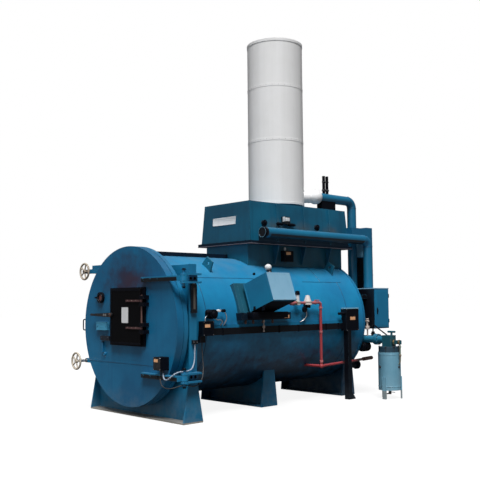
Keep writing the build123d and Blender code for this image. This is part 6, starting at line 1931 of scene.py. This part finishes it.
    def tap(self) -> None:
        """Puts the drain tap and its handle under the vessel."""
        bench = self.bench
        body = bench.rod((1.37, 1.888, 0.06), (1.37, 1.888, 0.112), 0.022, 0.003, sides=8)
        spout = bench.rod((1.38, 1.888, 0.082), (1.38, 1.8, 0.074), 0.011, 0.002, 0.009)
        handle = bench.block((1.388, 1.88, 0.09), (1.462, 1.896, 0.098), 0.003)
        bench.fit("drain_tap", RUSTY_STEEL, Slot.BRASS, body, spout, handle)


# The black boxes' pale edge colour is a painted edge highlight.
COLUMN_PAINT = PaintFinish("black tray paint with painted edge highlights", BLACK, DEEP_BLACK,
                           chip_and_highlight=(0.07, 0.13, 0.18), dust_tint=(0.05, 0.07, 0.09), gloss=0.44, wear_and_highlight=0.8,
                           specular=0.25)
TRAY_PAINT = PaintFinish("black tray under a blue ledge", BLACK, DEEP_BLACK, chip_and_highlight=(0.05, 0.1, 0.14),
                         dust_tint=(0.05, 0.07, 0.09), gloss=0.44, wear_and_highlight=0.6, specular=0.25,
                         zones=(Zone((0.5, -2.0, 1.1485), (1.2, 2.0, 1.3), BLUE, DEEP_BLUE),))


@dataclass
class CableTray:
    """Cable tray along the flank with a box at each end and the rear column."""

    bench: Bench
    boxes: tuple[tuple[float, float, float, float], ...] = ((-1.535, -1.355, 1.06, 1.245),
                                                            (1.29, 1.59, 1.03, 1.36))
    face: float = 1.03

    def build(self) -> None:
        """Adds lids, plates, clips and the flank sensor's loops, and paints the tray."""
        dress(TRAY_PAINT, "cable_tray")
        dress(COLUMN_PAINT, "tray_boxes")
        dress(BLACK_PAINT, "flank_sensor")
        self.lids()
        self.plates()
        self.tray_clips()
        self.sensor()

    def lids(self) -> None:
        """Lids both boxes."""
        bench = self.bench
        lids = []
        spots = []
        for y0, y1, z0, z1 in self.boxes:
            lid = bench.slab((self.face, y0 + 0.004, z0 + 0.004),
                             (self.face + 0.006, y1 - 0.004, z1 - 0.004))
            bench.panel(lid, Facing.RIGHT, 0.012, -0.002)
            lids.append(bench.chamfer(lid, 0.0015, 1))
            spots += [towards((self.face + 0.006, y, z), Facing.RIGHT.vector)
                      for y in (y0 + 0.012, y1 - 0.012) for z in (z0 + 0.012, z1 - 0.012)]
        bench.fit("box_lids", BLACK_PAINT, Slot.BLACK, *lids)
        bench.fit("box_screws", BOLT_STEEL, Slot.STEEL, bench.spread(bench.rivet(0.0045), spots))

    def plates(self) -> None:
        """Sets the bare orange plates, the rear box's pale top as a painted highlight along its top edge,
        and its knob.
        """
        bench = self.bench
        x = self.face + 0.0042
        plates = [bench.slab((x, -1.51, 1.166), (x + 0.004, -1.425, 1.206)),
                  bench.slab((x, 1.38, 1.192), (x + 0.004, 1.5, 1.24))]
        bench.fit("box_plates", ORANGE_PAINT, Slot.BRASS,
                  *[bench.chamfer(plate, 0.001, 1) for plate in plates])
        # The pale strip on the rear box's top is a painted highlight along its top edge.
        top = bench.slab((0.93, 1.29, 1.36), (self.face + 0.008, 1.59, 1.376))
        bench.panel(top, Facing.UP, 0.008, 0.001)
        bench.fit("rear_box_highlight_top", PALE_PAINT, Slot.PALE_BLUE, bench.chamfer(top, 0.001, 1))
        knob = bench.drum((1.0, 1.291, 1.292), (1.0, 1.15, 1.292), 0.024, 0.02)
        bench.panel(knob, Facing.FRONT, 0.006, 0.005)
        bench.fit("rear_box_knob", BLACK_PAINT, Slot.BLACK, bench.chamfer(knob, 0.004))

    def tray_clips(self) -> None:
        """Clips the tray."""
        bench = self.bench
        clips = []
        for y in (-1.15, -0.1, 0.3, 0.9, 1.18):
            clip = bench.slab((0.955, y - 0.012, 1.054), (0.973, y + 0.012, 1.152))
            bench.panel(clip, Facing.RIGHT, 0.004, 0.001)
            clips.append(bench.chamfer(clip, 0.0015, 1))
        bench.fit("tray_clips", BLACK_PAINT, Slot.BLACK, *clips)

    def sensor(self) -> None:
        """Gives the flank sensor its knob and its bright impulse tubes."""
        bench = self.bench
        middle = Vector((1.045, -1.36, 1.332))
        front = bench.drum(middle, middle + Vector((0.015, 0, 0)), 0.046, 0.04, 40)
        bench.panel(front, Facing.RIGHT, 0.01, 0.004)
        knob = bench.drum(middle + Vector((-0.03, -0.056, 0.02)), middle + Vector((-0.03, -0.11, 0.02)),
                          0.026, 0.022)
        bench.fit("flank_sensor_cap", BLACK_PAINT, Slot.BLACK, bench.chamfer(front, 0.003),
                  bench.chamfer(knob, 0.004))
        knobs = [bench.rod((0.975, y, 1.372), (1.026, y, 1.372), size, 0.004) for y,
                 size in ((-1.253, 0.019), (-1.167, 0.022))]
        bench.fit("impulse_knob", WHITE_PAINT, Slot.PALE_BLUE, knobs[0])
        bench.fit("impulse_valve", BLACK_PAINT, Slot.BLACK, knobs[1])
        first = bench.hose(((0.99, -1.305, 1.35), (0.992, -1.25, 1.382), (0.992, -1.17, 1.38),
                            (0.99, -1.11, 1.33), (0.988, -1.1, 1.26), (0.97, -1.12, 1.205),
                            (0.95, -1.13, 1.185)), 0.0075)
        second = bench.hose(((0.985, -1.32, 1.296), (0.988, -1.27, 1.25), (0.99, -1.21, 1.262),
                             (0.988, -1.17, 1.232), (0.968, -1.18, 1.196), (0.95, -1.185, 1.186)),
                            0.0075)
        third = bench.hose(((0.98, -1.41, 1.32), (0.98, -1.45, 1.3), (0.985, -1.465, 1.27),
                            (0.985, -1.465, 1.24)), 0.0075)
        bench.fit("impulse_tubes", WHEEL_STEEL, Slot.STEEL, first, second, third)


@dataclass
class Studio:
    """Camera, lamps, backdrop and floor."""

    bench: Bench
    camera_place: Point = (8.237, -7.629, 1.501)
    yaw: float = radians(-46.931)
    pitch: float = radians(3.863)
    roll: float = radians(-0.531)
    lens: float = 53.92
    key_strength: float = 4.1
    fill_strength: float = 0.5
    ambient: float = 0.02
    glossy: float = 0.12
    floor_glow: float = 0.89

    def build(self) -> None:
        """Sets up everything round the object."""
        self.camera()
        self.lamps()
        self.backdrop()
        self.floor()
        bpy.context.scene.view_settings.view_transform = "Standard"

    def camera(self) -> None:
        """Puts the camera where the photograph was taken."""
        forward = Vector((sin(self.yaw) * cos(self.pitch), cos(self.yaw) * cos(self.pitch),
                          sin(self.pitch)))
        level = Vector((cos(self.yaw), -sin(self.yaw), 0.0))
        upward = level.cross(forward)
        right = level * cos(self.roll) + upward * sin(self.roll)
        top = upward * cos(self.roll) - level * sin(self.roll)
        lens = bpy.data.cameras.new("camera")
        lens.lens = self.lens
        lens.sensor_width = 36.0
        lens.clip_end = 200.0
        camera = bpy.data.objects.new("camera", lens)
        turn = Matrix((right, top, -forward)).transposed().to_4x4()
        camera.matrix_world = Matrix.Translation(self.camera_place) @ turn
        bpy.context.scene.collection.objects.link(camera)
        bpy.context.scene.camera = camera

    def lamps(self) -> None:
        """Hangs the key lamp high on the right and a weak fill in front."""
        for name, strength, angle, source in (("key", self.key_strength, 26.0,
                                               Vector((0.35, -0.28, 0.89))),
                                              ("fill", self.fill_strength, 60.0,
                                               Vector((0.2, -1.0, 0.35)))):
            lamp = bpy.data.lights.new(name, "SUN")
            lamp.energy = strength
            lamp.angle = radians(angle)
            holder = bpy.data.objects.new(name, lamp)
            holder.matrix_world = towards((4.0, -3.0, 9.0), source.normalized())
            bpy.context.scene.collection.objects.link(holder)

    def backdrop(self) -> None:
        """Makes the world white to the camera, pale in reflections and dim as a light."""
        world = bpy.data.worlds.new("white surround")
        bpy.context.scene.world = world
        world.use_nodes = True
        graph = Graph(world.node_tree)
        shown = world.node_tree.nodes["Background"]
        shown.inputs["Color"].default_value = (1.0, 1.0, 1.0, 1.0)
        path = graph.node("LightPath")
        seen = graph.math("MAXIMUM", path.outputs["Is Camera Ray"], path.outputs["Is Transmission Ray"])
        mirrored = graph.span(path.outputs["Is Glossy Ray"], 0.0, 1.0, self.ambient, self.glossy)
        graph.feed(shown.inputs["Strength"], graph.math("MAXIMUM", seen, mirrored))

    def floor(self) -> None:
        """Lays the pale floor."""
        self.bench.clear()
        bpy.ops.mesh.primitive_plane_add(size=120.0, location=(0, 0, 0))
        slab = bpy.context.object
        slab.name = "studio_floor"
        paint = bpy.data.materials.new("pale studio floor")
        paint.use_nodes = True
        graph = Graph(paint.node_tree)
        shader = paint.node_tree.nodes["Principled BSDF"]
        speck = graph.noise(graph.node("TexCoord").outputs["Object"], 3.0, 3.0, 0.5)
        graph.feed(shader.inputs["Base Color"],
                   graph.mix(graph.span(speck, 0.3, 0.7), (0.12, 0.12, 0.12, 1), (0.14, 0.14, 0.14, 1)))
        shader.inputs["Roughness"].default_value = 0.9
        path = graph.node("LightPath")
        shader.inputs["Emission Color"].default_value = (1.0, 1.0, 1.0, 1.0)
        graph.feed(shader.inputs["Emission Strength"],
                   graph.math("MULTIPLY", path.outputs["Is Camera Ray"], self.floor_glow))
        slab.data.materials.append(paint)


def main() -> None:
    """Builds the sub-assemblies in order and reports them."""
    logging.basicConfig(level=logging.INFO, format="%(name)s: %(message)s")
    bench = Bench()
    Studio(bench).build()
    for part in (Barrel(bench), FrontFrame(bench), Door(bench), ChargingHatch(bench), Clamps(bench),
                 Hood(bench), Stack(bench), Burner(bench), AirSide(bench), FuelLine(bench),
                 WaterSide(bench), CableTray(bench)):
        before = len(bench.made)
        part.build()
        LOG.info("%s has %d pieces of its own", type(part).__name__, len(bench.made) - before)
    bench.clear()
    bpy.context.view_layer.update()


if __name__ == "__main__":
    main()
